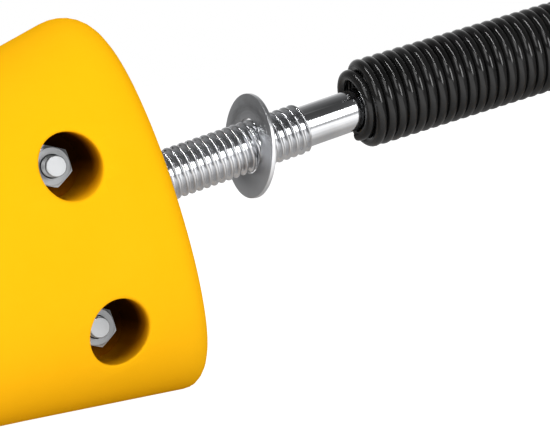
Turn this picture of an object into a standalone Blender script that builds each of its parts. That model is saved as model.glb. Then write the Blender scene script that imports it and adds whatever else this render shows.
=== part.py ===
"""A pair of sprung shoe trees: yellow toe and heel pieces, each made of two halves that are
clamped by cross bolts, joined by a threaded rod and a closed coil spring.

Metres, +Z up, toes towards -X. The origin lies on the flat sole of the left toe piece's
outer half. The left tree's outer side faces -Y. The right tree is its mirror image, set a
stride ahead, but its screws, rod and spring are wound the same way.
"""

import math

import bmesh
import bpy
from mathutils import Matrix, Vector

# Clearances
SEAT_GAP = 0.0003
RUNNING_GAP = 0.0004
CUT_OVERRUN = 0.004
HALF_SPLIT = 0.0003
MERGE_DISTANCE = 0.000001

# Layout of the pair
PAIR_SPACING = 0.098
PAIR_STRIDE = 0.150
SOLE_MARK_OFFSET = 0.004
SOLE_MARK_AHEAD = 0.045

# Rod and spring axes
ROD_RISE = math.radians(10.5)
SPRING_SAG = math.radians(2.0)
SAG_CENTRE = 0.063

# Toe piece, measured from its rear face forwards and from the rod's axis up, down and out
TOE_LENGTH = 0.114
TOE_REAR_RISE = 0.0363
TOE_REAR_DROP = 0.0396
TOE_REAR_HALF_WIDTH = 0.0216
TOE_TOP_SLOPE = math.radians(11.4)
TOE_OUTER_FLARE = math.radians(14.3)
TOE_INNER_FLARE = math.radians(9.0)
TOE_FLARE_RUN = 0.048
TOE_FLARE_EASE = 0.034
TOE_TOP_FALL = 0.009
TOE_TOP_FALL_START = 0.055
TOE_SOLE_LIFT = 0.004
TOE_SOLE_LIFT_START = 0.084
TOE_SOLE_BULGE = 0.0012
TOE_NOSE_LENGTH = 0.042
TOE_NOSE_DEPTH = 0.022
TOE_NOSE_SHIFT = 0.006
TOE_TOP_FILLET = 0.0089
TOE_SOLE_FILLET = 0.0060
TOE_SIDE_FILLET = 0.0037
TOE_BODY_STEPS = 3
TOE_NOSE_STEPS = 5

# Heel piece, measured from its front face back and from the floor up
HEEL_LENGTH = 0.060
HEEL_HEIGHT = 0.079
HEEL_BACK_HEIGHT = 0.066
HEEL_HALF_WIDTH = 0.0235
HEEL_BACK_HALF_WIDTH = 0.0265
HEEL_BACK_ROUND = 0.028
HEEL_BACK_DEPTH = 0.020
HEEL_TOP_FILLET = 0.0085
HEEL_SOLE_FILLET = 0.0055
HEEL_SIDE_FILLET = 0.0033
HEEL_SOLE_BULGE = 0.0014
HEEL_FACE_FROM_SAG_CENTRE = 0.0480
HEEL_BODY_STEPS = 2
HEEL_ROUND_STEPS = 5

# Sections of both
SECTION_POWER = 2.15
SECTION_POINTS = 24
FILLET_STEPS = 3
LAST_STATION_ANGLE = math.radians(84.0)

# Cross bolts M4, their nuts and counterbores, measured out from the middle plane
BOLT_RADIUS = 0.0020
BOLT_LENGTH = 0.025
BOLT_HEAD_ACROSS = 0.0070
BOLT_HEAD_HEIGHT = 0.0028
BOLT_END_CHAMFER = 0.0004
NUT_ACROSS = 0.0070
NUT_THICKNESS = 0.0032
COUNTERBORE_RADIUS = 0.0061
TOE_BOLT_AHEAD = 0.01915
TOE_UPPER_BOLT_RISE = 0.0100
TOE_UPPER_BOLT_END = 0.0160
TOE_UPPER_NUT_SEAT = 0.0100
TOE_LOWER_BOLT_RISE = -0.0210
TOE_LOWER_BOLT_END = 0.0115
TOE_LOWER_NUT_SEAT = 0.0062
HEEL_FRONT_BOLT_BACK = 0.017
HEEL_FRONT_BOLT_RISE = 0.028
HEEL_REAR_BOLT_BACK = 0.043
HEEL_REAR_BOLT_RISE = 0.037
HEEL_BOLT_END = 0.0140
HEEL_NUT_SEAT = 0.0080

# Pegs that locate the halves
PEG_RADIUS = 0.0020
PEG_LENGTH = 0.010
TOE_UPPER_PEG_AHEAD = 0.009
TOE_UPPER_PEG_RISE = 0.022
TOE_LOWER_PEG_AHEAD = 0.032
TOE_LOWER_PEG_RISE = -0.011
HEEL_LOWER_PEG_BACK = 0.034
HEEL_LOWER_PEG_RISE = 0.013
HEEL_UPPER_PEG_BACK = 0.046
HEEL_UPPER_PEG_RISE = 0.055

# Rod, threaded up to a plain shank
THREAD_RADIUS = 0.0050
THREAD_DEPTH = 0.0009
THREAD_PITCH = 0.0016
THREAD_START = -0.0198
THREAD_END = 0.0355
ROD_INNER_END = -0.0247
SHANK_RADIUS = 0.0041
SHANK_END = 0.0760
ROD_BORE_RADIUS = 0.0058
ROD_BORE_DEPTH = 0.0380

# Captive nut M10 in the toe piece
ANCHOR_NUT_ACROSS = 0.0160
ANCHOR_NUT_THICKNESS = 0.0078
ANCHOR_NUT_AHEAD = 0.0040

# Stop pin across the rod's inner end
STOP_PIN_RADIUS = 0.0011
STOP_PIN_LENGTH = 0.0104
STOP_PIN_FROM_END = 0.0032

# Loose washer, hanging plumb on the rising thread
WASHER_RADIUS = 0.0102
WASHER_HOLE_RADIUS = 0.0057
WASHER_THICKNESS = 0.0009
WASHER_PLACE = 0.0240
WASHER_LEAN = math.radians(14.9)
WASHER_TURN = math.radians(4.3)

# Closed coil spring, wound left hand, with its first turn drawn in to the shank
COIL_RADIUS = 0.00775
COIL_WIRE_RADIUS = 0.00092
COIL_PITCH = 0.00234
COIL_TURNS = 33
COIL_POINTS_PER_TURN = 8
COIL_START = 0.0471
COIL_START_ANGLE = math.radians(35.0)
COIL_DRAWN_UNTIL_TURN = 0.10
COIL_FULL_FROM_TURN = 1.25
COIL_DRAWN_RADIUS = 0.0059
COIL_DRAWN_DROP = 0.0003

# Guide bush in the spring's front end, and the rings that hold it on the shank
BUSH_LENGTH = 0.018
BUSH_BORE_RADIUS = 0.0049
RING_RADIUS = 0.0056
RING_THICKNESS = 0.0010
RING_GROOVE_DEPTH = 0.0005

# Stud in the spring's rear end, pinned into the heel piece
STUD_PLUG_LENGTH = 0.0224
STUD_FLANGE_RADIUS = 0.0105
STUD_FLANGE_THICKNESS = 0.0035
STUD_TAIL_RADIUS = 0.0050
STUD_TAIL_LENGTH = 0.0120
STUD_PIN_RADIUS = 0.0015
STUD_PIN_LENGTH = 0.0200
SOCKET_RADIUS = 0.0097

# Facets
SMALL_SIDES = 12
THREAD_SIDES = 8
ROUND_SIDES = 14
HOLE_SIDES = 16
WASHER_SIDES = 24
SHARP_ANGLE = math.radians(35.0)

ALONG_ROD = (0.0, math.pi / 2, 0.0)

YELLOW = ("yellow_plastic", (0.93, 0.56, 0.012), 0.38, 0.0)
CHROME = ("chrome_plate", (0.72, 0.73, 0.75), 0.14, 1.0)
ZINC = ("zinc_steel", (0.60, 0.61, 0.63), 0.28, 1.0)
BLACK = ("black_enamel", (0.012, 0.012, 0.014), 0.22, 0.0)
GREY = ("grey_nylon", (0.10, 0.10, 0.11), 0.45, 0.0)


def clear_objects():
    for old in list(bpy.data.objects):
        bpy.data.objects.remove(old, do_unlink=True)


def make_collection(name):
    collection = bpy.data.collections.new(name)
    bpy.context.scene.collection.children.link(collection)
    return collection


def make_material(finish):
    name, colour, roughness, metallic = finish
    material = bpy.data.materials.new(name)
    material.use_nodes = True
    shader = material.node_tree.nodes["Principled BSDF"]
    shader.inputs["Base Color"].default_value = (*colour, 1.0)
    shader.inputs["Roughness"].default_value = roughness
    shader.inputs["Metallic"].default_value = metallic
    return material


def add_frame(name, parent, location, turn):
    """An empty that carries pieces, turned about y."""
    frame = bpy.data.objects.new(name, None)
    bpy.context.scene.collection.objects.link(frame)
    frame.parent = parent
    frame.location = location
    frame.rotation_euler = (0.0, turn, 0.0)
    return frame


def place_piece(name, data, collection, parent, location, rotation, finish):
    """An object in its frame; one without a finish is a cutter."""
    piece = bpy.data.objects.new(name, data)
    collection.objects.link(piece)
    piece.parent = parent
    piece.location = location
    piece.rotation_euler = rotation
    if finish is None:
        piece.hide_render = True
        piece.display_type = "WIRE"
    else:
        data.materials.append(make_material(finish))
    return piece


def finished_mesh(name, shape):
    bmesh.ops.remove_doubles(shape, verts=shape.verts, dist=MERGE_DISTANCE)
    bmesh.ops.recalc_face_normals(shape, faces=shape.faces)
    mesh = bpy.data.meshes.new(name)
    shape.to_mesh(mesh)
    shape.free()
    mesh.shade_smooth()
    mesh.set_sharp_from_angle(angle=SHARP_ANGLE)
    return mesh


def add_face(shape, corners):
    """A face on the corners that differ, where at least three do."""
    kept = []
    for point in corners:
        if all((point - other).length > MERGE_DISTANCE for other in kept):
            kept.append(point)
    if len(kept) > 2:
        shape.faces.new([shape.verts.new(point) for point in kept])


def add_band(shape, first, second):
    for i in range(len(first)):
        j = (i + 1) % len(first)
        add_face(shape, [first[i], first[j], second[j], second[i]])


def loft_solid(shape, rings):
    for first, second in zip(rings, rings[1:]):
        add_band(shape, first, second)
    add_face(shape, rings[0])
    add_face(shape, rings[-1])


def loft_tube(shape, rings):
    for first, second in zip(rings, rings[1:] + rings[:1]):
        add_band(shape, first, second)


def round_ring(radius, height, sides):
    angles = [math.tau * i / sides for i in range(sides)]
    return [Vector((radius * math.cos(a), radius * math.sin(a), height)) for a in angles]


def hexagon_ring(across, height, sides):
    """Points round a hexagon whose flats face x; their number is a multiple of twelve."""
    ring = []
    for i in range(sides):
        angle = math.tau * i / sides
        nearest_flat = round(angle / (math.tau / 6)) * math.tau / 6
        radius = across / 2 / math.cos(angle - nearest_flat)
        ring.append(Vector((radius * math.cos(angle), radius * math.sin(angle), height)))
    return ring


def add_cylinder(name, radius, length, sides, collection, parent, location, rotation, finish):
    """A cylinder centred on its location."""
    shape = bmesh.new()
    bmesh.ops.create_cone(shape, cap_ends=True, segments=sides, radius1=radius, radius2=radius, depth=length)
    return place_piece(name, finished_mesh(name, shape), collection, parent, location, rotation, finish)


def add_turned(name, profile, closed, sides, collection, parent, location, rotation, finish):
    """A piece turned about its z axis from (height, radius) points, outer side downwards."""
    shape = bmesh.new()
    verts = [shape.verts.new((radius, 0.0, height)) for height, radius in profile]
    for first, second in zip(verts, verts[1:]):
        shape.edges.new((first, second))
    if closed:
        shape.edges.new((verts[-1], verts[0]))
    mesh = bpy.data.meshes.new(name)
    shape.to_mesh(mesh)
    shape.free()
    piece = place_piece(name, mesh, collection, parent, location, rotation, finish)
    spin = piece.modifiers.new("spin", "SCREW")
    spin.steps = sides
    spin.render_steps = sides
    spin.use_merge_vertices = True
    spin.merge_threshold = MERGE_DISTANCE
    spin.use_smooth_shade = True
    return piece


def ring_profile(outer, inner, thickness):
    half = thickness / 2
    return [(half, outer), (-half, outer), (-half, inner), (half, inner)]


def subtract(piece, cutter):
    cut = piece.modifiers.new(cutter.name, "BOOLEAN")
    cut.operation = "DIFFERENCE"
    cut.solver = "EXACT"
    cut.object = cutter


def keep_half(piece, direction, size, cutters):
    """Keeps what lies on one side of the middle plane, half a split away from it."""
    shape = bmesh.new()
    bmesh.ops.create_cube(shape, size=1.0)
    bmesh.ops.scale(shape, vec=(size * 2, size, size * 2), verts=shape.verts)
    across = direction * (size + HALF_SPLIT) / 2
    name = piece.name + "_side"
    mesh = finished_mesh(name, shape)
    box = place_piece(name, mesh, cutters, piece.parent, (0.0, across, 0.0), (0.0, 0.0, 0.0), None)
    keep = piece.modifiers.new(name, "BOOLEAN")
    keep.operation = "INTERSECT"
    keep.solver = "EXACT"
    keep.object = box


def eased_run(distance, run, ease):
    """The part of a distance that counts towards a flare, which fades out over the ease."""
    if distance <= run:
        return distance
    past = min(distance - run, ease)
    return run + past - past * past / (2 * ease)


def rounded_rim(distance, radius):
    """How far a rounded rim lies inside its wall, at a distance from the end face."""
    short = max(radius - distance, 0.0)
    return radius - math.sqrt(radius * radius - short * short)


def share_past(distance, start, length):
    return min(max((distance - start) / length, 0.0), 1.0)


def section_ring(x, top, bottom, plus_width, minus_width, centre, floor):
    """A rounded section with its own half width to each side, cut flat at the floor."""
    middle = (top + bottom) / 2
    half = (top - bottom) / 2
    ring = []
    for i in range(SECTION_POINTS):
        angle = math.tau * i / SECTION_POINTS
        across = abs(math.cos(angle)) ** (2 / SECTION_POWER)
        upward = abs(math.sin(angle)) ** (2 / SECTION_POWER)
        y = across * plus_width if math.cos(angle) > 0 else -across * minus_width
        z = middle + math.copysign(upward, math.sin(angle)) * half
        ring.append(Vector((x, centre + y, max(z, floor))))
    return ring


def rim_stations(fillet):
    angles = [math.pi / 2 * i / FILLET_STEPS for i in range(FILLET_STEPS)]
    return [fillet * (1 - math.cos(angle)) for angle in angles]


def round_end_stations(start, length, steps):
    angles = [LAST_STATION_ANGLE * i / steps for i in range(steps + 1)]
    return [start + length * math.sin(angle) for angle in angles]


def lofted_block(name, rings):
    """A loft in triangles, because its four-sided faces are bent and cuts need flat ones."""
    shape = bmesh.new()
    loft_solid(shape, rings)
    bmesh.ops.remove_doubles(shape, verts=shape.verts, dist=MERGE_DISTANCE)
    bmesh.ops.triangulate(shape, faces=shape.faces)
    return finished_mesh(name, shape)


def toe_section(ahead, side):
    """The toe piece's section at a distance ahead of its rear face."""
    sole = ahead * math.tan(ROD_RISE) - TOE_REAR_DROP
    fall = share_past(ahead, TOE_TOP_FALL_START, TOE_LENGTH - TOE_TOP_FALL_START)
    lift = share_past(ahead, TOE_SOLE_LIFT_START, TOE_LENGTH - TOE_SOLE_LIFT_START)
    wide = share_past(ahead, TOE_LENGTH - TOE_NOSE_LENGTH, TOE_NOSE_LENGTH)
    deep = share_past(ahead, TOE_LENGTH - TOE_NOSE_DEPTH, TOE_NOSE_DEPTH)
    top = TOE_REAR_RISE - ahead * math.tan(TOE_TOP_SLOPE) - TOE_TOP_FALL * fall ** 2
    top -= rounded_rim(ahead, TOE_TOP_FILLET)
    bottom = sole - TOE_SOLE_BULGE + TOE_SOLE_LIFT * lift ** 2 + rounded_rim(ahead, TOE_SOLE_FILLET)
    middle = (top + bottom) / 2
    half = (top - bottom) / 2 * math.sqrt(1 - deep ** 2)
    run = eased_run(ahead, TOE_FLARE_RUN, TOE_FLARE_EASE)
    base = TOE_REAR_HALF_WIDTH - rounded_rim(ahead, TOE_SIDE_FILLET)
    outer = (base + run * math.tan(TOE_OUTER_FLARE)) * math.sqrt(1 - wide ** 2)
    inner = (base + run * math.tan(TOE_INNER_FLARE)) * math.sqrt(1 - wide ** 2)
    plus, minus = (inner, outer) if side > 0 else (outer, inner)
    centre = TOE_NOSE_SHIFT * wide ** 2 * side
    return section_ring(-ahead, middle + half, middle - half, plus, minus, centre, sole)


def toe_block(name, side):
    nose = TOE_LENGTH - TOE_NOSE_LENGTH
    body = [TOE_TOP_FILLET + (nose - TOE_TOP_FILLET) * i / TOE_BODY_STEPS for i in range(TOE_BODY_STEPS)]
    stations = rim_stations(TOE_TOP_FILLET) + body
    stations += round_end_stations(nose, TOE_NOSE_LENGTH, TOE_NOSE_STEPS)
    return lofted_block(name, [toe_section(ahead, side) for ahead in stations])


def heel_section(back):
    """The heel piece's section at a distance behind its front face."""
    straight = HEEL_LENGTH - HEEL_BACK_ROUND
    wide = share_past(back, straight, HEEL_BACK_ROUND)
    deep = share_past(back, HEEL_LENGTH - HEEL_BACK_DEPTH, HEEL_BACK_DEPTH)
    top = HEEL_HEIGHT - (HEEL_HEIGHT - HEEL_BACK_HEIGHT) * back / HEEL_LENGTH
    top -= rounded_rim(back, HEEL_TOP_FILLET)
    bottom = rounded_rim(back, HEEL_SOLE_FILLET) - HEEL_SOLE_BULGE
    middle = (top + bottom) / 2
    half = (top - bottom) / 2 * (1 + math.sqrt(1 - deep ** 2)) / 2
    spread = eased_run(back, 0.0, straight) / (straight / 2)
    width = HEEL_HALF_WIDTH + (HEEL_BACK_HALF_WIDTH - HEEL_HALF_WIDTH) * spread
    width = (width - rounded_rim(back, HEEL_SIDE_FILLET)) * math.sqrt(1 - wide ** 2)
    return section_ring(back, middle + half, middle - half, width, width, 0.0, 0.0)


def heel_block(name):
    straight = HEEL_LENGTH - HEEL_BACK_ROUND
    reach = straight - HEEL_TOP_FILLET
    body = [HEEL_TOP_FILLET + reach * i / HEEL_BODY_STEPS for i in range(HEEL_BODY_STEPS)]
    stations = rim_stations(HEEL_TOP_FILLET) + body
    stations += round_end_stations(straight, HEEL_BACK_ROUND, HEEL_ROUND_STEPS)
    return lofted_block(name, [heel_section(back) for back in stations])


def outward(side):
    """The rotation that turns a piece's z axis to the tree's outer side."""
    return (side * math.pi / 2, 0.0, 0.0)


def bolt_hole(name, seat, end, reach, side, cutters, parent, location):
    """Clearance hole with a counterbore down to the nut's seat and one to the head's."""
    head_seat = end - BOLT_LENGTH + SEAT_GAP
    nut_seat = seat - SEAT_GAP
    hole = BOLT_RADIUS + RUNNING_GAP
    profile = [
        (reach, 0.0),
        (reach, COUNTERBORE_RADIUS),
        (nut_seat, COUNTERBORE_RADIUS),
        (nut_seat, hole),
        (head_seat, hole),
        (head_seat, COUNTERBORE_RADIUS),
        (-reach, COUNTERBORE_RADIUS),
        (-reach, 0.0),
    ]
    return add_turned(name, profile, False, HOLE_SIDES, cutters, parent, location, outward(side), None)


def add_bolt(name, end, side, collection, parent, location):
    """Hexagon bolt whose head is on the tree's inner side."""
    neck = end - BOLT_LENGTH
    shape = bmesh.new()
    loft_solid(shape, [
        hexagon_ring(BOLT_HEAD_ACROSS, neck - BOLT_HEAD_HEIGHT, SMALL_SIDES),
        hexagon_ring(BOLT_HEAD_ACROSS, neck, SMALL_SIDES),
        round_ring(BOLT_RADIUS, neck, SMALL_SIDES),
        round_ring(BOLT_RADIUS, end - BOLT_END_CHAMFER, SMALL_SIDES),
        round_ring(BOLT_RADIUS - BOLT_END_CHAMFER, end, SMALL_SIDES),
    ])
    place_piece(name, finished_mesh(name, shape), collection, parent, location, outward(side), ZINC)


def add_nut(name, across, thickness, bore, collection, parent, location, rotation):
    """Hexagon nut that rises from its location."""
    shape = bmesh.new()
    loft_tube(shape, [
        hexagon_ring(across, 0.0, SMALL_SIDES),
        hexagon_ring(across, thickness, SMALL_SIDES),
        round_ring(bore, thickness, SMALL_SIDES),
        round_ring(bore, 0.0, SMALL_SIDES),
    ])
    place_piece(name, finished_mesh(name, shape), collection, parent, location, rotation, ZINC)


def add_fasteners(prefix, bolts, pegs, reach, side, collection, cutters, parent):
    """Bolts, nuts and pegs of one block; gives back the cutters of their holes."""
    holes = []
    for which, (x, z, seat, end) in bolts.items():
        location = (x, 0.0, z)
        holes.append(bolt_hole(prefix + which + "_bolt_hole", seat, end, reach, side, cutters, parent, location))
        add_bolt(prefix + which + "_bolt", end, side, collection, parent, location)
        location = (x, -side * seat, z)
        bore = BOLT_RADIUS + SEAT_GAP
        add_nut(prefix + which + "_nut", NUT_ACROSS, NUT_THICKNESS, bore,
                collection, parent, location, outward(side))
    for which, (x, z) in pegs.items():
        location = (x, 0.0, z)
        add_cylinder(prefix + which + "_peg", PEG_RADIUS, PEG_LENGTH, SMALL_SIDES,
                     collection, parent, location, outward(side), ZINC)
        holes.append(add_cylinder(prefix + which + "_peg_hole", PEG_RADIUS + SEAT_GAP,
                                  PEG_LENGTH + SEAT_GAP * 2, SMALL_SIDES,
                                  cutters, parent, location, outward(side), None))
    return holes


def add_halves(prefix, block, mesh_maker, holes, side, size, collection, cutters, parent):
    for which, direction in (("outer", -side), ("inner", side)):
        name = prefix + block + "_" + which + "_half"
        half = place_piece(name, mesh_maker(name), collection, parent, (0.0, 0.0, 0.0), (0.0, 0.0, 0.0), YELLOW)
        keep_half(half, direction, size, cutters)
        for hole in holes:
            subtract(half, hole)


def add_toe_piece(prefix, side, collection, cutters, rod_frame):
    """Two halves round the captive nut, clamped by two bolts and located by two pegs."""
    bolts = {
        "upper": (-TOE_BOLT_AHEAD, TOE_UPPER_BOLT_RISE, TOE_UPPER_NUT_SEAT, TOE_UPPER_BOLT_END),
        "lower": (-TOE_BOLT_AHEAD, TOE_LOWER_BOLT_RISE, TOE_LOWER_NUT_SEAT, TOE_LOWER_BOLT_END),
    }
    pegs = {
        "upper": (-TOE_UPPER_PEG_AHEAD, TOE_UPPER_PEG_RISE),
        "lower": (-TOE_LOWER_PEG_AHEAD, TOE_LOWER_PEG_RISE),
    }
    reach = TOE_REAR_HALF_WIDTH + TOE_BOLT_AHEAD
    holes = add_fasteners(prefix + "toe_", bolts, pegs, reach, side, collection, cutters, rod_frame)
    pocket = add_cylinder(
        prefix + "toe_nut_pocket",
        (ANCHOR_NUT_ACROSS / 2 + SEAT_GAP) / math.cos(math.pi / 6),
        ANCHOR_NUT_THICKNESS + SEAT_GAP * 2,
        6,
        cutters,
        rod_frame,
        (-ANCHOR_NUT_AHEAD - ANCHOR_NUT_THICKNESS / 2, 0.0, 0.0),
        ALONG_ROD,
        None,
    )
    bore = add_cylinder(
        prefix + "toe_rod_bore",
        ROD_BORE_RADIUS,
        ROD_BORE_DEPTH + CUT_OVERRUN,
        HOLE_SIDES,
        cutters,
        rod_frame,
        ((CUT_OVERRUN - ROD_BORE_DEPTH) / 2, 0.0, 0.0),
        ALONG_ROD,
        None,
    )
    holes += [pocket, bore]
    add_halves(prefix, "toe", lambda name: toe_block(name, side), holes, side, TOE_LENGTH * 2,
               collection, cutters, rod_frame)
    add_nut(prefix + "anchor_nut", ANCHOR_NUT_ACROSS, ANCHOR_NUT_THICKNESS, THREAD_RADIUS + SEAT_GAP,
            collection, rod_frame, (-ANCHOR_NUT_AHEAD - ANCHOR_NUT_THICKNESS, 0.0, 0.0), ALONG_ROD)


def thread_row(index, sides):
    """One row of points of a right-hand thread: odd rows are crests and even rows roots."""
    row = []
    for i in range(sides):
        angle = math.tau * i / sides
        height = THREAD_START + (index / 2 + i / sides) * THREAD_PITCH
        crest = index % 2 == 1 and THREAD_START < height < THREAD_END
        radius = THREAD_RADIUS if crest else THREAD_RADIUS - THREAD_DEPTH
        height = min(max(height, THREAD_START), THREAD_END)
        row.append(Vector((radius * math.cos(angle), radius * math.sin(angle), height)))
    return row


def add_thread(shape, sides):
    """The threaded skin, from a root circle at its start to one at its end."""
    turns = math.ceil((THREAD_END - THREAD_START) / THREAD_PITCH)
    rows = [thread_row(index, sides) for index in range(-3, 2 * turns + 4)]
    for index in range(len(rows) - 3):
        lower = rows[index] + rows[index + 2][:1]
        upper = rows[index + 1] + rows[index + 3][:1]
        for i in range(sides):
            add_face(shape, [lower[i], lower[i + 1], upper[i + 1], upper[i]])


def ring_starts():
    """Where the two retaining rings begin on the shank, before and behind the bush."""
    room = BUSH_LENGTH / 2 + BUSH_BORE_RADIUS * math.tan(SPRING_SAG) + RUNNING_GAP
    return SAG_CENTRE - room - RING_THICKNESS, SAG_CENTRE + room


def add_rod(prefix, collection, cutters, rod_frame):
    """Threaded rod with a plain inner end and a grooved shank that runs into the spring."""
    root = THREAD_RADIUS - THREAD_DEPTH
    groove = SHANK_RADIUS - RING_GROOVE_DEPTH
    shape = bmesh.new()
    inner_end = round_ring(root, ROD_INNER_END, THREAD_SIDES)
    add_face(shape, inner_end)
    add_band(shape, inner_end, round_ring(root, THREAD_START, THREAD_SIDES))
    add_thread(shape, THREAD_SIDES)
    shank = [round_ring(root, THREAD_END, THREAD_SIDES), round_ring(SHANK_RADIUS, THREAD_END, THREAD_SIDES)]
    for start in ring_starts():
        near = start - SEAT_GAP
        far = start + RING_THICKNESS + SEAT_GAP
        for radius, height in ((SHANK_RADIUS, near), (groove, near), (groove, far), (SHANK_RADIUS, far)):
            shank.append(round_ring(radius, height, THREAD_SIDES))
    shank.append(round_ring(SHANK_RADIUS, SHANK_END, THREAD_SIDES))
    for first, second in zip(shank, shank[1:]):
        add_band(shape, first, second)
    add_face(shape, shank[-1])
    name = prefix + "threaded_rod"
    mesh = finished_mesh(name, shape)
    rod = place_piece(name, mesh, collection, rod_frame, (0.0, 0.0, 0.0), ALONG_ROD, CHROME)
    location = (ROD_INNER_END + STOP_PIN_FROM_END, 0.0, 0.0)
    subtract(rod, add_cylinder(prefix + "stop_pin_hole", STOP_PIN_RADIUS + SEAT_GAP, STOP_PIN_LENGTH,
                               SMALL_SIDES, cutters, rod_frame, location, outward(1), None))
    add_cylinder(prefix + "stop_pin", STOP_PIN_RADIUS, STOP_PIN_LENGTH, SMALL_SIDES,
                 collection, rod_frame, location, outward(1), ZINC)
    for which, start in zip(("front", "rear"), ring_starts()):
        profile = ring_profile(RING_RADIUS, groove + SEAT_GAP, RING_THICKNESS)
        add_turned(prefix + which + "_shank_ring", profile, True, ROUND_SIDES, collection, rod_frame,
                   (start + RING_THICKNESS / 2, 0.0, 0.0), ALONG_ROD, ZINC)


def add_washer(prefix, collection, rod_frame):
    """Flat washer, loose on the thread."""
    lean = Matrix.Rotation(WASHER_TURN, 3, "Z") @ Matrix.Rotation(math.pi / 2 + WASHER_LEAN, 3, "Y")
    profile = ring_profile(WASHER_RADIUS, WASHER_HOLE_RADIUS, WASHER_THICKNESS)
    add_turned(prefix + "rod_washer", profile, True, WASHER_SIDES, collection, rod_frame,
               (WASHER_PLACE, 0.0, 0.0), lean.to_euler(), CHROME)


def coil_points():
    """The wire's centre line: a left-hand helix about z, drawn in and down at its start."""
    points = []
    for i in range(COIL_TURNS * COIL_POINTS_PER_TURN + 1):
        turn = i / COIL_POINTS_PER_TURN
        grown = share_past(turn, COIL_DRAWN_UNTIL_TURN, COIL_FULL_FROM_TURN - COIL_DRAWN_UNTIL_TURN)
        drawn = 1 - grown * grown * (3 - 2 * grown)
        radius = COIL_RADIUS - (COIL_RADIUS - COIL_DRAWN_RADIUS) * drawn
        angle = COIL_START_ANGLE - math.tau * turn
        down = radius * math.cos(angle) + COIL_DRAWN_DROP * drawn
        points.append(Vector((down, radius * math.sin(angle), turn * COIL_PITCH)))
    return points


def plug_radius():
    """Radius of what fills the spring's bore, clear of the flats between the wire's points."""
    return COIL_RADIUS * math.cos(math.pi / COIL_POINTS_PER_TURN) - COIL_WIRE_RADIUS - SEAT_GAP


def least_gap(points):
    """Smallest distance between neighbouring turns, less the wire's thickness."""
    distances = []
    for i, point in enumerate(points):
        nearest_turn = i + COIL_POINTS_PER_TURN
        for other in points[nearest_turn - 2:nearest_turn + 3]:
            distances.append((point - other).length)
    return min(distances) - 2 * COIL_WIRE_RADIUS


def add_spring(prefix, collection, spring_frame):
    points = coil_points()
    curve = bpy.data.curves.new(prefix + "coil_spring", "CURVE")
    curve.dimensions = "3D"
    curve.bevel_depth = COIL_WIRE_RADIUS
    curve.bevel_resolution = 1
    curve.use_fill_caps = True
    spline = curve.splines.new("POLY")
    spline.points.add(len(points) - 1)
    for node, point in zip(spline.points, points):
        node.co = (*point, 1.0)
    place_piece(prefix + "coil_spring", curve, collection, spring_frame,
                (COIL_START - SAG_CENTRE, 0.0, 0.0), ALONG_ROD, BLACK)
    print(prefix + "coil_spring: least gap to itself", round(least_gap(points) * 1000, 2), "mm")


def add_bush(prefix, collection, spring_frame):
    """Bush that lies in the spring's front end and lets the shank turn in it."""
    profile = ring_profile(plug_radius(), BUSH_BORE_RADIUS, BUSH_LENGTH)
    add_turned(prefix + "guide_bush", profile, True, ROUND_SIDES, collection, spring_frame,
               (0.0, 0.0, 0.0), ALONG_ROD, GREY)


def flange_start():
    """Where the stud's flange begins behind the sag centre: at the spring's end."""
    return COIL_START - SAG_CENTRE + COIL_TURNS * COIL_PITCH + COIL_WIRE_RADIUS + SEAT_GAP


def add_stud(prefix, collection, cutters, spring_frame):
    """Stud in the spring's rear end; gives back the cutters of its pocket in the heel piece."""
    place = (flange_start(), 0.0, 0.0)
    tail = STUD_FLANGE_THICKNESS
    end = tail + STUD_TAIL_LENGTH
    profile = [
        (end, 0.0),
        (end, STUD_TAIL_RADIUS),
        (tail, STUD_TAIL_RADIUS),
        (tail, STUD_FLANGE_RADIUS),
        (0.0, STUD_FLANGE_RADIUS),
        (0.0, plug_radius()),
        (-STUD_PLUG_LENGTH, plug_radius()),
        (-STUD_PLUG_LENGTH, 0.0),
    ]
    stud = add_turned(prefix + "spring_stud", profile, False, HOLE_SIDES, collection, spring_frame,
                      place, ALONG_ROD, ZINC)
    profile = [
        (end + SEAT_GAP, 0.0),
        (end + SEAT_GAP, STUD_TAIL_RADIUS + SEAT_GAP),
        (tail + SEAT_GAP, STUD_TAIL_RADIUS + SEAT_GAP),
        (tail + SEAT_GAP, STUD_FLANGE_RADIUS + SEAT_GAP),
        (-SEAT_GAP, STUD_FLANGE_RADIUS + SEAT_GAP),
        (-SEAT_GAP, SOCKET_RADIUS),
        (-flange_start(), SOCKET_RADIUS),
        (-flange_start(), 0.0),
    ]
    pocket = add_turned(prefix + "stud_pocket", profile, False, HOLE_SIDES, cutters, spring_frame,
                        place, ALONG_ROD, None)
    place = (flange_start() + (tail + end) / 2, 0.0, 0.0)
    add_cylinder(prefix + "stud_pin", STUD_PIN_RADIUS, STUD_PIN_LENGTH, SMALL_SIDES,
                 collection, spring_frame, place, outward(1), ZINC)
    pin_hole = add_cylinder(prefix + "stud_pin_hole", STUD_PIN_RADIUS + SEAT_GAP,
                            STUD_PIN_LENGTH + SEAT_GAP * 2, SMALL_SIDES,
                            cutters, spring_frame, place, outward(1), None)
    subtract(stud, pin_hole)
    return [pocket, pin_hole]


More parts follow.
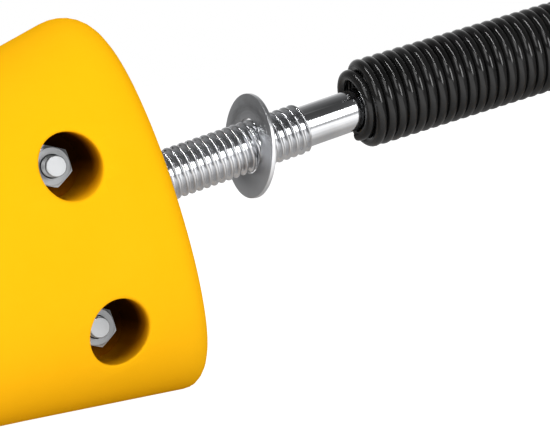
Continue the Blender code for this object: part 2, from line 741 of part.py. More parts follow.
def add_heel_piece(prefix, side, stud_holes, collection, cutters, heel_frame):
    """Two halves round the stud, clamped by two bolts and located by two pegs."""
    bolts = {
        "front": (HEEL_FRONT_BOLT_BACK, HEEL_FRONT_BOLT_RISE, HEEL_NUT_SEAT, HEEL_BOLT_END),
        "rear": (HEEL_REAR_BOLT_BACK, HEEL_REAR_BOLT_RISE, HEEL_NUT_SEAT, HEEL_BOLT_END),
    }
    pegs = {
        "lower": (HEEL_LOWER_PEG_BACK, HEEL_LOWER_PEG_RISE),
        "upper": (HEEL_UPPER_PEG_BACK, HEEL_UPPER_PEG_RISE),
    }
    reach = HEEL_BACK_HALF_WIDTH + CUT_OVERRUN
    holes = add_fasteners(prefix + "heel_", bolts, pegs, reach, side, collection, cutters, heel_frame)
    add_halves(prefix, "heel", heel_block, holes + stud_holes, side, HEEL_LENGTH * 2,
               collection, cutters, heel_frame)


def rod_point(distance):
    """A point on the rod's axis behind the toe piece's rear face, in the tree's frame."""
    height = TOE_REAR_DROP * math.cos(ROD_RISE) + distance * math.sin(ROD_RISE)
    return Vector((distance * math.cos(ROD_RISE), 0.0, height))


def build_tree(prefix, side, place, collection, cutters):
    """One tree; side is 1 where its outer side faces -Y and -1 on the mirror image."""
    spring_rise = ROD_RISE - SPRING_SAG
    sag_centre = rod_point(SAG_CENTRE)
    heel_place = (sag_centre.x + HEEL_FACE_FROM_SAG_CENTRE * math.cos(spring_rise), 0.0, 0.0)
    tree = add_frame(prefix + "tree", None, place, 0.0)
    rod_frame = add_frame(prefix + "rod_axis", tree, rod_point(0.0), -ROD_RISE)
    spring_frame = add_frame(prefix + "spring_axis", tree, sag_centre, -spring_rise)
    heel_frame = add_frame(prefix + "heel_axis", tree, heel_place, 0.0)
    add_toe_piece(prefix, side, collection, cutters, rod_frame)
    add_rod(prefix, collection, cutters, rod_frame)
    add_washer(prefix, collection, rod_frame)
    add_spring(prefix, collection, spring_frame)
    add_bush(prefix, collection, spring_frame)
    stud_holes = add_stud(prefix, collection, cutters, spring_frame)
    add_heel_piece(prefix, side, stud_holes, collection, cutters, heel_frame)


def main():
    clear_objects()
    collection = make_collection("pair_of_shoe_trees")
    cutters = make_collection("cutters")
    left_place = Vector((SOLE_MARK_AHEAD, SOLE_MARK_OFFSET, 0.0))
    build_tree("left_", 1, left_place, collection, cutters)
    build_tree("right_", -1, left_place + Vector((-PAIR_STRIDE, PAIR_SPACING, 0.0)), collection, cutters)


main()
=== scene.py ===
import math

import bmesh
import bpy
from mathutils import Matrix, Vector


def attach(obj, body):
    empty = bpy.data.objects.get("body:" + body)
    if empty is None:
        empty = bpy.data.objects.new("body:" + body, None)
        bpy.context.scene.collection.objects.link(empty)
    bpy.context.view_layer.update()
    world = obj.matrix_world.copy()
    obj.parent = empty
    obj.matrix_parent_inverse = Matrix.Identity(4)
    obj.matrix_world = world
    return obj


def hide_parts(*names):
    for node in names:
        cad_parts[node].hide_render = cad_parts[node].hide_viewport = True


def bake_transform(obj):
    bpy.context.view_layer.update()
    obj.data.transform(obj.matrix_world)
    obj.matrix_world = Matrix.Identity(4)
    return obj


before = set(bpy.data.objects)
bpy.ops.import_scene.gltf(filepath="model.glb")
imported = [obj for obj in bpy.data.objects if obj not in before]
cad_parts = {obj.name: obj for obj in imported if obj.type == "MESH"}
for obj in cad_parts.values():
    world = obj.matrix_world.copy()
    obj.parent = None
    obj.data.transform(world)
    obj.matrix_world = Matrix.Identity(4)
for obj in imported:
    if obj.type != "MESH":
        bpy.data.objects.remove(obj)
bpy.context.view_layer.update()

# Sizes in metres, angles and places that repeat the part's source
SEAT_GAP = 0.0003
RUNNING_GAP = 0.0004
HALF_SPLIT = 0.0003
PAIR_SPACING = 0.098
PAIR_STRIDE = 0.150
SOLE_MARK_OFFSET = 0.004
SOLE_MARK_AHEAD = 0.045
ROD_RISE = math.radians(10.5)
SPRING_SAG = math.radians(2.0)
SAG_CENTRE = 0.063
TOE_REAR_RISE = 0.0363
TOE_REAR_DROP = 0.0396
TOE_TOP_SLOPE = math.radians(11.4)
TOE_OUTER_FLARE = math.radians(14.3)
TOE_INNER_FLARE = math.radians(9.0)
TOE_FLARE_RUN = 0.048
TOE_FLARE_EASE = 0.034
TOE_TOP_FALL = 0.009
TOE_TOP_FALL_START = 0.055
TOE_SOLE_LIFT = 0.004
TOE_SOLE_LIFT_START = 0.084
TOE_SOLE_BULGE = 0.0012
TOE_NOSE_LENGTH = 0.042
TOE_NOSE_DEPTH = 0.022
TOE_NOSE_SHIFT = 0.006
TOE_TOP_FILLET = 0.0089
TOE_SOLE_FILLET = 0.0060
TOE_SIDE_FILLET = 0.0037
HEEL_BACK_HEIGHT = 0.066
HEEL_HALF_WIDTH = 0.0235
HEEL_BACK_HALF_WIDTH = 0.0265
HEEL_BACK_ROUND = 0.028
HEEL_BACK_DEPTH = 0.020
HEEL_TOP_FILLET = 0.0085
HEEL_SOLE_FILLET = 0.0055
HEEL_SIDE_FILLET = 0.0033
HEEL_SOLE_BULGE = 0.0014
HEEL_FACE_FROM_SAG_CENTRE = 0.0480
SECTION_POWER = 2.15
BOLT_RADIUS = 0.0020
BOLT_LENGTH = 0.025
BOLT_HEAD_ACROSS = 0.0070
BOLT_HEAD_HEIGHT = 0.0028
NUT_ACROSS = 0.0070
NUT_THICKNESS = 0.0032
COUNTERBORE_RADIUS = 0.0061
# Each cross bolt: its x and z, and how far its nut's seat and its point lie from the middle plane
TOE_BOLTS = {"upper": (-0.01915, 0.0100, 0.0100, 0.0160), "lower": (-0.01915, -0.0210, 0.0062, 0.0115)}
HEEL_BOLTS = {"front": (0.017, 0.028, 0.0080, 0.0140), "rear": (0.043, 0.037, 0.0080, 0.0140)}
THREAD_RADIUS = 0.0050
THREAD_DEPTH = 0.0009
THREAD_PITCH = 0.0016
THREAD_START = -0.0198
THREAD_END = 0.0355
ROD_INNER_END = -0.0247
SHANK_RADIUS = 0.0041
SHANK_END = 0.0760
ROD_BORE_RADIUS = 0.0058
ROD_BORE_DEPTH = 0.0380
ANCHOR_NUT_ACROSS = 0.0160
ANCHOR_NUT_THICKNESS = 0.0078
ANCHOR_NUT_AHEAD = 0.0040
WASHER_RADIUS = 0.0102
WASHER_THICKNESS = 0.0009
WASHER_PLACE = 0.0240
WASHER_LEAN = math.radians(14.9)
WASHER_TURN = math.radians(4.3)
COIL_RADIUS = 0.00775
COIL_PITCH = 0.00234
COIL_TURNS = 33
COIL_START = 0.0471
COIL_START_ANGLE = math.radians(35.0)
COIL_DRAWN_START = 0.10
COIL_DRAWN_END = 1.25
BUSH_LENGTH = 0.018
BUSH_RADIUS = 0.0059
BUSH_BORE_RADIUS = 0.0049
RING_RADIUS = 0.0056
RING_THICKNESS = 0.0010
RING_GROOVE_DEPTH = 0.0005
STUD_PLUG_LENGTH = 0.0224
STUD_FLANGE_RADIUS = 0.0105
STUD_FLANGE_THICKNESS = 0.0035
STUD_TAIL_RADIUS = 0.0050
STUD_TAIL_LENGTH = 0.0120
STUD_START = 0.06254
SOCKET_RADIUS = 0.0097

# Sizes a hair under the solids', so that the smoother blocks stay inside the solids' box
TOE_LENGTH = 0.11397
TOE_REAR_HALF_WIDTH = 0.02155
HEEL_LENGTH = 0.05984
HEEL_HEIGHT = 0.07877

# Finer shape that only the looks have
SECTION_POINTS = 96
RIM_STEPS = 9
BODY_STEPS = 12
NOSE_STEPS = 18
NOSE_REACH = math.radians(88.5)
MOUTH_LIP = 0.0007
MOUTH_STEPS = 6
MOUTH_REACH = math.radians(82.0)
MOUTH_OVERSHOOT = 0.05
HOLE_SIDES = 72
CHAMFER_SHARE = 0.96
CHAMFER_ANGLE = math.radians(30.0)
SOFT_CORNER_SHARE = 0.3
THREAD_ROWS = 14
THREAD_END_SLOPE = 2.0
THREAD_FLANK_START = 0.10
THREAD_FLANK_END = 0.84
ROUNDING_GUARD = 0.0001
WASHER_SIDES = 120
WASHER_HOLE_RADIUS = 0.00535
WIRE_SIDES = 18
WIRE_POINTS = 48
WIRE_RADIUS = 0.00112
WIRE_DRAWN_RADIUS = 0.0055
WIRE_DRAWN_DROP = 0.0003
WIRE_CUT_TURNS = 0.0833
WIRE_LEAN = 0.0007
WIRE_DRAWN_LEAN = 1.9
WIRE_LEAN_FADE = 8.0
BOLT_PITCH = 0.0007
BOLT_THREAD_DEPTH = 0.00038
BOLT_THREAD_LENGTH = 0.0091
BOLT_THREAD_ROWS = 10
BOLT_THREAD_END_SLOPE = 3.0
BOLT_POINT_RADIUS = 0.00195
BOLT_POINT_LENGTH = 0.0008
NUT_CLEARANCE = 0.0001
NUT_FACE_SHARE = 0.97
MERGE_DISTANCE = 0.000002
SMALL_BREAK = 0.00015

# Angles in degrees past which an edge stays sharp
PLAIN_EDGE = 35.0
MOULDED_EDGE = 30.0
NUT_EDGE = 24.0
BOLT_EDGE = 26.0
ROD_EDGE = 40.0

# Painted shade on metal, and wear that roughens it, from 0 to 1
NUT_FACE_SHADE = 0.6
BOLT_SHADE = 0.38
WASHER_SHADE = 0.34
THREAD_WEAR = 0.12
WASHER_WEAR = 1.0

# A thread's groove has full painted shade up to this share of its height, and full wear adds this
# roughness
GROOVE_FULL_SHADE = 0.25
WEAR_ROUGHNESS = 0.24

# Tones as red, green and blue, or as grey, and ramps of them with their places
WHITE = (1.0, 1.0, 1.0, 1.0)
YELLOW_TONES = [(0.30, (0.92, 0.455, 0.004)), (0.70, (0.96, 0.48, 0.007))]
YELLOW_SPECULAR = 0.0
CLOUD_SHARE = 0.8
SPECK_SHARE = 0.2
# Painted shade down a counterbore by its depth below the wall, lessened by painted light on its lower wall
PAINTED_HOLLOW_SHADE_TONES = [
    (0.0, 1.0),
    (0.13, (0.72, 0.62, 0.5)),
    (0.34, (0.36, 0.27, 0.12)),
    (0.75, (0.11, 0.07, 0.02)),
    (1.0, (0.035, 0.022, 0.006)),
]
HOLLOW_DEPTHS = (0.0004, 0.0066)
HOLLOW_HEIGHTS = (-1.0, -0.10)
HOLLOW_LEAST_SHADE = 0.10
CHROME_TONE = (0.83, 0.84, 0.86)
ZINC_TONE = (0.68, 0.69, 0.70)
SMEAR_SHARE = 0.86
# The colour that painted shade on metal goes to
SHADED_METAL = (0.035, 0.035, 0.038, 1.0)
ENAMEL_TONES = [(0.3, 0.004), (0.7, 0.010)]
ENAMEL_SPECULAR = 0.40
NYLON_TONES = [(0.3, 0.018), (0.7, 0.030)]
SMEAR_START = 0.35
SMEAR_END = 0.62

# Roughness from and to, as a finish's noise goes over its middle range
NOISE_RANGE = (0.3, 0.7)
YELLOW_ROUGHNESS = (0.44, 0.54)
CHROME_ROUGHNESS = (0.07, 0.15)
ZINC_ROUGHNESS = (0.34, 0.46)
ENAMEL_ROUGHNESS = (0.14, 0.18)
NYLON_ROUGHNESS = (0.42, 0.58)

# The floor, and the strength of its glow at two places along y and along x
FLOOR_SIZE = 6.0
FLOOR_TONE = (0.25, 0.25, 0.25, 1.0)
FLOOR_ROUGHNESS = 0.9
FLOOR_GLOW_Y = (-0.07, 0.0, 1.15, 0.22)
FLOOR_GLOW_X = (0.165, 0.205, 1.0, 0.05)

# The tent's greys round the x axis, from behind by below, front and top, and its dimming to the left
TENT_TONES = [
    (0.0, 0.8), (0.5, 0.30), (0.57, 0.30), (0.60, 0.08),
    (0.74, 0.07), (0.80, 0.16), (0.86, 0.35), (0.93, 0.8), (1.0, 0.8)]
TENT_LEFT = (-0.5, 0.3, 0.30, 1.0)

# Each light: place, aim, width, height and power in watts
LIGHTS = {
    "strip": ((0.465, -0.88, 0.30), (0.09, 0.0, 0.05), 0.34, 0.50, 4.5),
    "top": ((-0.24, -0.40, 0.96), (0.09, -0.40, 0.05), 1.3, 0.05, 6.8),
    "key": ((-0.95, -0.95, 0.75), (0.0, 0.0, 0.04), 0.9, 0.9, 7.0),
}

CAMERA_SENSOR = 36.0
CAMERA_LENS = 133.781
CAMERA_NEAR = 0.01
CAMERA_PLACE = (-0.084075, -0.361865, 0.060526)
CAMERA_TURN = (85.501, 6.9448, -23.6599)

ALONG_ROD = Matrix.Rotation(math.pi / 2, 4, "Y")


def feed(tree, socket, value):
    """Links a socket to another, or sets its value."""
    if isinstance(value, bpy.types.NodeSocket):
        tree.links.new(value, socket)
    else:
        socket.default_value = value


def add_node(tree, kind, inputs=None, **settings):
    node = tree.nodes.new(kind)
    for key, value in settings.items():
        setattr(node, key, value)
    for key, value in (inputs or {}).items():
        feed(tree, node.inputs[key], value)
    return node


def reckon(tree, operation, *values):
    node = tree.nodes.new("ShaderNodeMath")
    node.operation = operation
    for socket, value in zip(node.inputs, values):
        feed(tree, socket, value)
    return node.outputs[0]


def ramp(tree, value, stops):
    """A colour ramp with (place, grey or colour) stops."""
    node = add_node(tree, "ShaderNodeValToRGB", {"Fac": value})
    elements = node.color_ramp.elements
    while len(elements) < len(stops):
        elements.new(1.0)
    for element, (place, tone) in zip(elements, stops):
        element.position = place
        element.color = (*tone, 1.0) if isinstance(tone, tuple) else (tone, tone, tone, 1.0)
    return node.outputs["Color"]


def noise(tree, coordinates, scale, detail=3.0, roughness=0.5):
    node = add_node(tree, "ShaderNodeTexNoise", {
        "Vector": coordinates, "Scale": scale, "Detail": detail, "Roughness": roughness})
    return node.outputs["Fac"]


def between(tree, value, low, high, to_low, to_high):
    node = add_node(tree, "ShaderNodeMapRange", {0: value, 1: low, 2: high, 3: to_low, 4: to_high})
    return node.outputs[0]


def bump(tree, height, strength, distance, normal=None):
    inputs = {"Height": height, "Strength": strength, "Distance": distance}
    if normal is not None:
        inputs["Normal"] = normal
    return add_node(tree, "ShaderNodeBump", inputs).outputs["Normal"]


def new_finish(name):
    """A material, its tree, its shader and its object coordinates turned along the rods."""
    material = bpy.data.materials.new(name)
    material.use_nodes = True
    tree = material.node_tree
    shader = tree.nodes["Principled BSDF"]
    where = add_node(tree, "ShaderNodeTexCoord").outputs["Object"]
    along = add_node(tree, "ShaderNodeMapping", {"Vector": where, "Rotation": (0.0, ROD_RISE, 0.0)})
    return material, tree, shader, where, along.outputs["Vector"]


def yellow_plastic():
    """Moulded plastic, clouded and finely grained, with painted shade down its counterbores and painted
    light on their lower walls.
    """
    material, tree, shader, where, _ = new_finish("yellow_plastic")
    cloud = noise(tree, where, scale=28.0, detail=2.0)
    speck = noise(tree, where, scale=420.0, detail=3.0, roughness=0.6)
    grain = noise(tree, where, scale=2600.0, detail=4.0, roughness=0.6)
    scuff = noise(tree, where, scale=150.0, detail=5.0, roughness=0.7)
    tone = reckon(tree, "ADD", reckon(tree, "MULTIPLY", cloud, CLOUD_SHARE),
                  reckon(tree, "MULTIPLY", speck, SPECK_SHARE))
    colour = ramp(tree, tone, YELLOW_TONES)
    # Painted shade: darker deeper down a counterbore, less on its lower wall where painted light falls
    depth = add_node(tree, "ShaderNodeAttribute", attribute_name="hollow_depth").outputs["Fac"]
    height = add_node(tree, "ShaderNodeAttribute", attribute_name="hollow_height").outputs["Fac"]
    upward = between(tree, height, *HOLLOW_HEIGHTS, HOLLOW_LEAST_SHADE, 1.0)
    shade = reckon(tree, "MULTIPLY", between(tree, depth, *HOLLOW_DEPTHS, 0.0, 1.0), upward)
    dimmed = ramp(tree, shade, PAINTED_HOLLOW_SHADE_TONES)
    colour_with_painted_shade = add_node(tree, "ShaderNodeMix", {0: 1.0, 6: colour, 7: dimmed},
                      data_type="RGBA", blend_type="MULTIPLY").outputs[2]
    feed(tree, shader.inputs["Base Color"], colour_with_painted_shade)
    feed(tree, shader.inputs["Roughness"], between(tree, scuff, *NOISE_RANGE, *YELLOW_ROUGHNESS))
    wave = bump(tree, speck, strength=0.10, distance=0.0002)
    feed(tree, shader.inputs["Normal"], bump(tree, grain, strength=0.16, distance=0.00006, normal=wave))
    shader.inputs["Specular IOR Level"].default_value = YELLOW_SPECULAR
    return material


def metal(name, colour, roughness, rings, grain_scale, dent):
    """Metal with turning marks along the rods, smears and pits, dimmed by painted shade and roughened by
    wear.
    """
    material, tree, shader, where, along = new_finish(name)
    smear = noise(tree, where, scale=90.0, detail=4.0, roughness=0.6)
    grain = noise(tree, where, scale=grain_scale, detail=4.0, roughness=0.7)
    marks = add_node(tree, "ShaderNodeTexWave", {
        "Vector": along, "Scale": rings, "Distortion": 1.5, "Detail": 2.0},
        wave_type="BANDS", bands_direction="X").outputs["Fac"]
    dark = tuple(part * SMEAR_SHARE for part in colour)
    shade = add_node(tree, "ShaderNodeAttribute", attribute_name="shade").outputs["Fac"]
    wear = add_node(tree, "ShaderNodeAttribute", attribute_name="wear").outputs["Fac"]
    plated = ramp(tree, smear, [(SMEAR_START, dark), (SMEAR_END, colour)])
    shaded = add_node(tree, "ShaderNodeMix", {0: shade, 6: plated, 7: SHADED_METAL},
                      data_type="RGBA").outputs[2]
    feed(tree, shader.inputs["Base Color"], shaded)
    polish = between(tree, smear, *NOISE_RANGE, *roughness)
    feed(tree, shader.inputs["Roughness"], reckon(tree, "MULTIPLY_ADD", wear, WEAR_ROUGHNESS, polish))
    shader.inputs["Metallic"].default_value = 1.0
    lines = bump(tree, marks, strength=0.05, distance=0.00003)
    feed(tree, shader.inputs["Normal"], bump(tree, grain, strength=dent, distance=0.00005, normal=lines))
    return material


def black_enamel():
    material, tree, shader, where, _ = new_finish("black_enamel")
    cloud = noise(tree, where, scale=160.0, detail=3.0)
    grain = noise(tree, where, scale=1900.0, detail=3.0, roughness=0.6)
    feed(tree, shader.inputs["Base Color"], ramp(tree, cloud, ENAMEL_TONES))
    feed(tree, shader.inputs["Roughness"], between(tree, cloud, *NOISE_RANGE, *ENAMEL_ROUGHNESS))
    feed(tree, shader.inputs["Normal"], bump(tree, grain, strength=0.03, distance=0.00003))
    shader.inputs["Specular IOR Level"].default_value = ENAMEL_SPECULAR
    return material


def grey_nylon():
    material, tree, shader, where, along = new_finish("grey_nylon")
    cloud = noise(tree, where, scale=220.0, detail=4.0)
    feed(tree, shader.inputs["Base Color"], ramp(tree, cloud, NYLON_TONES))
    feed(tree, shader.inputs["Roughness"], between(tree, cloud, *NOISE_RANGE, *NYLON_ROUGHNESS))
    grain = noise(tree, along, scale=1500.0, detail=3.0)
    feed(tree, shader.inputs["Normal"], bump(tree, grain, strength=0.2, distance=0.00005))
    return material


FINISHES = {
    "yellow_plastic": yellow_plastic(),
    "chrome_plate": metal("chrome_plate", CHROME_TONE, CHROME_ROUGHNESS,
                          rings=320.0, grain_scale=1400.0, dent=0.05),
    "zinc_steel": metal("zinc_steel", ZINC_TONE, ZINC_ROUGHNESS,
                        rings=260.0, grain_scale=900.0, dent=0.10),
    "black_enamel": black_enamel(),
    "grey_nylon": grey_nylon(),
}


def new_tree(name, sizes, counts):
    """A Geometry Nodes tree with named sizes and counts; gives back the tree and its inputs."""
    tree = bpy.data.node_groups.new(name, "GeometryNodeTree")
    for label in sizes:
        tree.interface.new_socket(label, in_out="INPUT", socket_type="NodeSocketFloat")
    for label in counts:
        tree.interface.new_socket(label, in_out="INPUT", socket_type="NodeSocketInt")
    tree.interface.new_socket("Finish", in_out="INPUT", socket_type="NodeSocketMaterial")
    tree.interface.new_socket("Geometry", in_out="OUTPUT", socket_type="NodeSocketGeometry")
    return tree, tree.nodes.new("NodeGroupInput").outputs


def end_tree(tree, geometry, finish):
    """Ends a tree: smooth shading, real geometry and its finish."""
    smooth = add_node(tree, "GeometryNodeSetShadeSmooth", {"Geometry": geometry})
    real = add_node(tree, "GeometryNodeRealizeInstances", {"Geometry": smooth.outputs["Geometry"]})
    coat = add_node(tree, "GeometryNodeSetMaterial", {
        "Geometry": real.outputs["Geometry"], "Material": finish})
    add_node(tree, "NodeGroupOutput", {0: coat.outputs["Geometry"]})


def cut_thread_tree():
    """Right-hand thread about z, with painted shade in its grooves: a grid whose rows run along the helix.
    """
    tree, given = new_tree(
        "cut_thread",
        ["Pitch", "Crest radius", "Root radius", "Start", "End", "End slope"],
        ["Columns", "Rows per turn"],
    )
    length = reckon(tree, "SUBTRACT", given["End"], given["Start"])
    turns = reckon(tree, "ADD", reckon(tree, "CEIL", reckon(tree, "DIVIDE", length, given["Pitch"])), 2.0)
    rows = reckon(tree, "ADD", reckon(tree, "MULTIPLY", turns, given["Rows per turn"]), 1.0)
    columns = reckon(tree, "ADD", given["Columns"], 1.0)
    grid = add_node(tree, "GeometryNodeMeshGrid", {
        "Size X": 1.0, "Size Y": 1.0, "Vertices X": columns, "Vertices Y": rows})
    position = add_node(tree, "GeometryNodeInputPosition").outputs[0]
    spot = add_node(tree, "ShaderNodeSeparateXYZ", {0: position})
    round_share = reckon(tree, "ADD", spot.outputs["X"], 0.5)
    turn = reckon(tree, "MULTIPLY", reckon(tree, "ADD", spot.outputs["Y"], 0.5), turns)
    climb = reckon(tree, "SUBTRACT", reckon(tree, "ADD", turn, round_share), 2.0)
    free = reckon(tree, "MULTIPLY_ADD", climb, given["Pitch"], given["Start"])
    height = reckon(tree, "MINIMUM", reckon(tree, "MAXIMUM", free, given["Start"]), given["End"])
    phase = reckon(tree, "FRACT", reckon(tree, "ADD", turn, ROUNDING_GUARD))
    ridge = reckon(tree, "SUBTRACT", 1.0, reckon(
        tree, "ABSOLUTE", reckon(tree, "MULTIPLY_ADD", phase, 2.0, -1.0)))
    lift = add_node(tree, "ShaderNodeMapRange", {
        0: ridge, 1: THREAD_FLANK_START, 2: THREAD_FLANK_END, 3: 0.0, 4: 1.0},
        interpolation_type="SMOOTHSTEP").outputs[0]
    depth = reckon(tree, "SUBTRACT", given["Crest radius"], given["Root radius"])
    full = reckon(tree, "MULTIPLY", lift, depth)
    to_end = reckon(tree, "MINIMUM", reckon(tree, "SUBTRACT", height, given["Start"]),
                    reckon(tree, "SUBTRACT", given["End"], height))
    limit = reckon(tree, "MULTIPLY", to_end, given["End slope"])
    radius = reckon(tree, "ADD", given["Root radius"], reckon(tree, "MINIMUM", full, limit))
    angle = reckon(tree, "MULTIPLY", round_share, math.tau)
    place = add_node(tree, "ShaderNodeCombineXYZ", {
        0: reckon(tree, "MULTIPLY", radius, reckon(tree, "COSINE", angle)),
        1: reckon(tree, "MULTIPLY", radius, reckon(tree, "SINE", angle)),
        2: height,
    })
    wound = add_node(tree, "GeometryNodeSetPosition", {
        "Geometry": grid.outputs["Mesh"], "Position": place.outputs[0]})
    # Painted shade in the thread's grooves, fading out towards its crests
    reached = reckon(tree, "DIVIDE", reckon(tree, "SUBTRACT", radius, given["Root radius"]), depth)
    shade = between(tree, reached, GROOVE_FULL_SHADE, 1.0, 1.0, 0.0)
    marked = add_node(tree, "GeometryNodeStoreNamedAttribute", {
        "Geometry": wound.outputs["Geometry"], "Name": "shade", "Value": shade})
    worn = add_node(tree, "GeometryNodeStoreNamedAttribute", {
        "Geometry": marked.outputs["Geometry"], "Name": "wear", "Value": THREAD_WEAR})
    closed = add_node(tree, "GeometryNodeMergeByDistance", {
        "Geometry": worn.outputs["Geometry"], "Distance": MERGE_DISTANCE})
    end_tree(tree, closed.outputs["Geometry"], given["Finish"])
    return tree


def wound_wire_tree():
    """Left-hand coil of wire about z. Its first turn is drawn in to the shank and its coils lean."""
    tree, given = new_tree(
        "wound_wire",
        ["Pitch", "Coil radius", "Drawn radius", "Drawn start", "Drawn end", "Drawn drop", "Start angle",
         "Wire radius", "Cut turns", "Lean", "Drawn lean", "Lean end", "Lean fade"],
        ["Turns", "Points per turn", "Wire sides"],
    )
    wound_turns = reckon(tree, "SUBTRACT", given["Turns"], given["Cut turns"])
    count = reckon(tree, "ADD", reckon(tree, "MULTIPLY", wound_turns, given["Points per turn"]), 1.0)
    line = add_node(tree, "GeometryNodeCurvePrimitiveLine")
    points = add_node(tree, "GeometryNodeResampleCurve", {"Curve": line.outputs[0], "Count": count})
    index = add_node(tree, "GeometryNodeInputIndex").outputs[0]
    turn = reckon(tree, "ADD", reckon(tree, "DIVIDE", index, given["Points per turn"]), given["Cut turns"])
    drawn = add_node(tree, "ShaderNodeMapRange", {
        0: turn, 1: given["Drawn start"], 2: given["Drawn end"], 3: 1.0, 4: 0.0},
        interpolation_type="SMOOTHSTEP").outputs[0]
    narrowing = reckon(tree, "SUBTRACT", given["Drawn radius"], given["Coil radius"])
    radius = reckon(tree, "MULTIPLY_ADD", narrowing, drawn, given["Coil radius"])
    angle = reckon(tree, "MULTIPLY_ADD", turn, -math.tau, given["Start angle"])
    drop = reckon(tree, "MULTIPLY", drawn, given["Drawn drop"])
    faded = reckon(tree, "DIVIDE", reckon(tree, "SUBTRACT", given["Lean end"], turn), given["Lean fade"])
    upright = reckon(tree, "MAXIMUM", reckon(tree, "MINIMUM", faded, 1.0), 0.0)
    swing = reckon(tree, "MULTIPLY_ADD", drawn, reckon(tree, "MULTIPLY", given["Drawn lean"], -1.0), 1.0)
    leaning = reckon(tree, "MULTIPLY", swing, upright)
    lean = reckon(tree, "MULTIPLY", reckon(tree, "MULTIPLY", leaning, given["Lean"]),
                  reckon(tree, "SINE", angle))
    place = add_node(tree, "ShaderNodeCombineXYZ", {
        0: reckon(tree, "MULTIPLY_ADD", radius, reckon(tree, "COSINE", angle), drop),
        1: reckon(tree, "MULTIPLY", radius, reckon(tree, "SINE", angle)),
        2: reckon(tree, "MULTIPLY_ADD", turn, given["Pitch"], lean),
    })
    wound = add_node(tree, "GeometryNodeSetPosition", {
        "Geometry": points.outputs[0], "Position": place.outputs[0]})
    section = add_node(tree, "GeometryNodeCurvePrimitiveCircle", {
        "Resolution": given["Wire sides"], "Radius": given["Wire radius"]})
    wire = add_node(tree, "GeometryNodeCurveToMesh", {
        "Curve": wound.outputs["Geometry"], "Profile Curve": section.outputs["Curve"], "Fill Caps": True})
    end_tree(tree, wire.outputs["Mesh"], given["Finish"])
    return tree


CUT_THREAD = cut_thread_tree()
WOUND_WIRE = wound_wire_tree()


def grown_mesh(tree, values):
    """The plain mesh that a tree makes from its named inputs."""
    holder = bpy.data.objects.new(tree.name, bpy.data.meshes.new(tree.name))
    bpy.context.scene.collection.objects.link(holder)
    grower = holder.modifiers.new(tree.name, "NODES")
    grower.node_group = tree
    for item in tree.interface.items_tree:
        if item.in_out == "INPUT":
            grower[item.identifier] = values[item.name]
    graph = bpy.context.evaluated_depsgraph_get()
    mesh = bpy.data.meshes.new_from_object(holder.evaluated_get(graph))
    bpy.data.objects.remove(holder)
    return mesh


def round_ring(radius, height, sides=HOLE_SIDES):
    angles = [math.tau * i / sides for i in range(sides)]
    return [Vector((radius * math.cos(a), radius * math.sin(a), height)) for a in angles]


def hexagon_radius(across, angle):
    """How far a hexagon's edge lies from its middle at an angle."""
    nearest_flat = round(angle / (math.tau / 6)) * math.tau / 6
    return across / 2 / math.cos(angle - nearest_flat)


def hexagon_ring(across, height, inwards):
    """A ring on a hexagon whose corners lie further inwards than its flats, as a chamfer leaves them."""
    ring = []
    for i in range(HOLE_SIDES):
        angle = math.tau * i / HOLE_SIDES
        radius = hexagon_radius(across, angle)
        drop = (radius - across / 2 * CHAMFER_SHARE) * math.tan(CHAMFER_ANGLE)
        ring.append(Vector((radius * math.cos(angle), radius * math.sin(angle), height + inwards * drop)))
    return ring


def skin_rings(shape, rings, closed):
    """Faces between rings of equal count; an open run gets a face at each end that has a width."""
    rows = [[shape.verts.new(point) for point in ring] for ring in rings]
    pairs = list(zip(rows, rows[1:])) + ([(rows[-1], rows[0])] if closed else [])
    for first, second in pairs:
        for i in range(len(first)):
            j = (i + 1) % len(first)
            shape.faces.new((first[i], first[j], second[j], second[i]))
    if not closed:
        for row in (rows[0], rows[-1]):
            if (row[0].co - row[len(row) // 2].co).length > MERGE_DISTANCE:
                shape.faces.new(row)


def finished_mesh(name, shape, sharp=PLAIN_EDGE):
    """A shape's clean mesh, faces outwards, smooth but for its sharp edges."""
    bmesh.ops.remove_doubles(shape, verts=shape.verts, dist=MERGE_DISTANCE)
    bmesh.ops.dissolve_degenerate(shape, edges=shape.edges, dist=MERGE_DISTANCE)
    bmesh.ops.recalc_face_normals(shape, faces=shape.faces)
    mesh = bpy.data.meshes.new(name)
    shape.to_mesh(mesh)
    shape.free()
    mesh.shade_smooth()
    mesh.set_sharp_from_angle(angle=math.radians(sharp))
    return mesh


def turned_mesh(name, profile, closed, sides=HOLE_SIDES):
    """A piece turned about z from (height, radius) points."""
    shape = bmesh.new()
    skin_rings(shape, [round_ring(radius, height, sides) for height, radius in profile], closed)
    return finished_mesh(name, shape)


def ring_profile(outer, inner, thickness, edge):
    """A flat ring's profile about its middle, its corners broken in two steps."""
    half = thickness / 2
    soft = edge * SOFT_CORNER_SHARE
    return [
        (half, outer - edge), (half - soft, outer - soft), (half - edge, outer),
        (edge - half, outer), (soft - half, outer - soft), (-half, outer - edge),
        (-half, inner + edge), (soft - half, inner + soft), (edge - half, inner),
        (half - edge, inner), (half - soft, inner + soft), (half, inner + edge),
    ]


def mark_points(mesh, name, values):
    """Stores a value for each point of a mesh, which its finish reads."""
    layer = mesh.attributes.get(name) or mesh.attributes.new(name, "FLOAT", "POINT")
    layer.data.foreach_set("value", values)


def shade_metal(mesh, shade, radius=math.inf):
    """Paints shade on the points of a turned mesh that lie nearer to its axis than a radius."""
    mark_points(mesh, "shade", [
        shade if vert.co.xy.length < radius else 0.0 for vert in mesh.vertices])


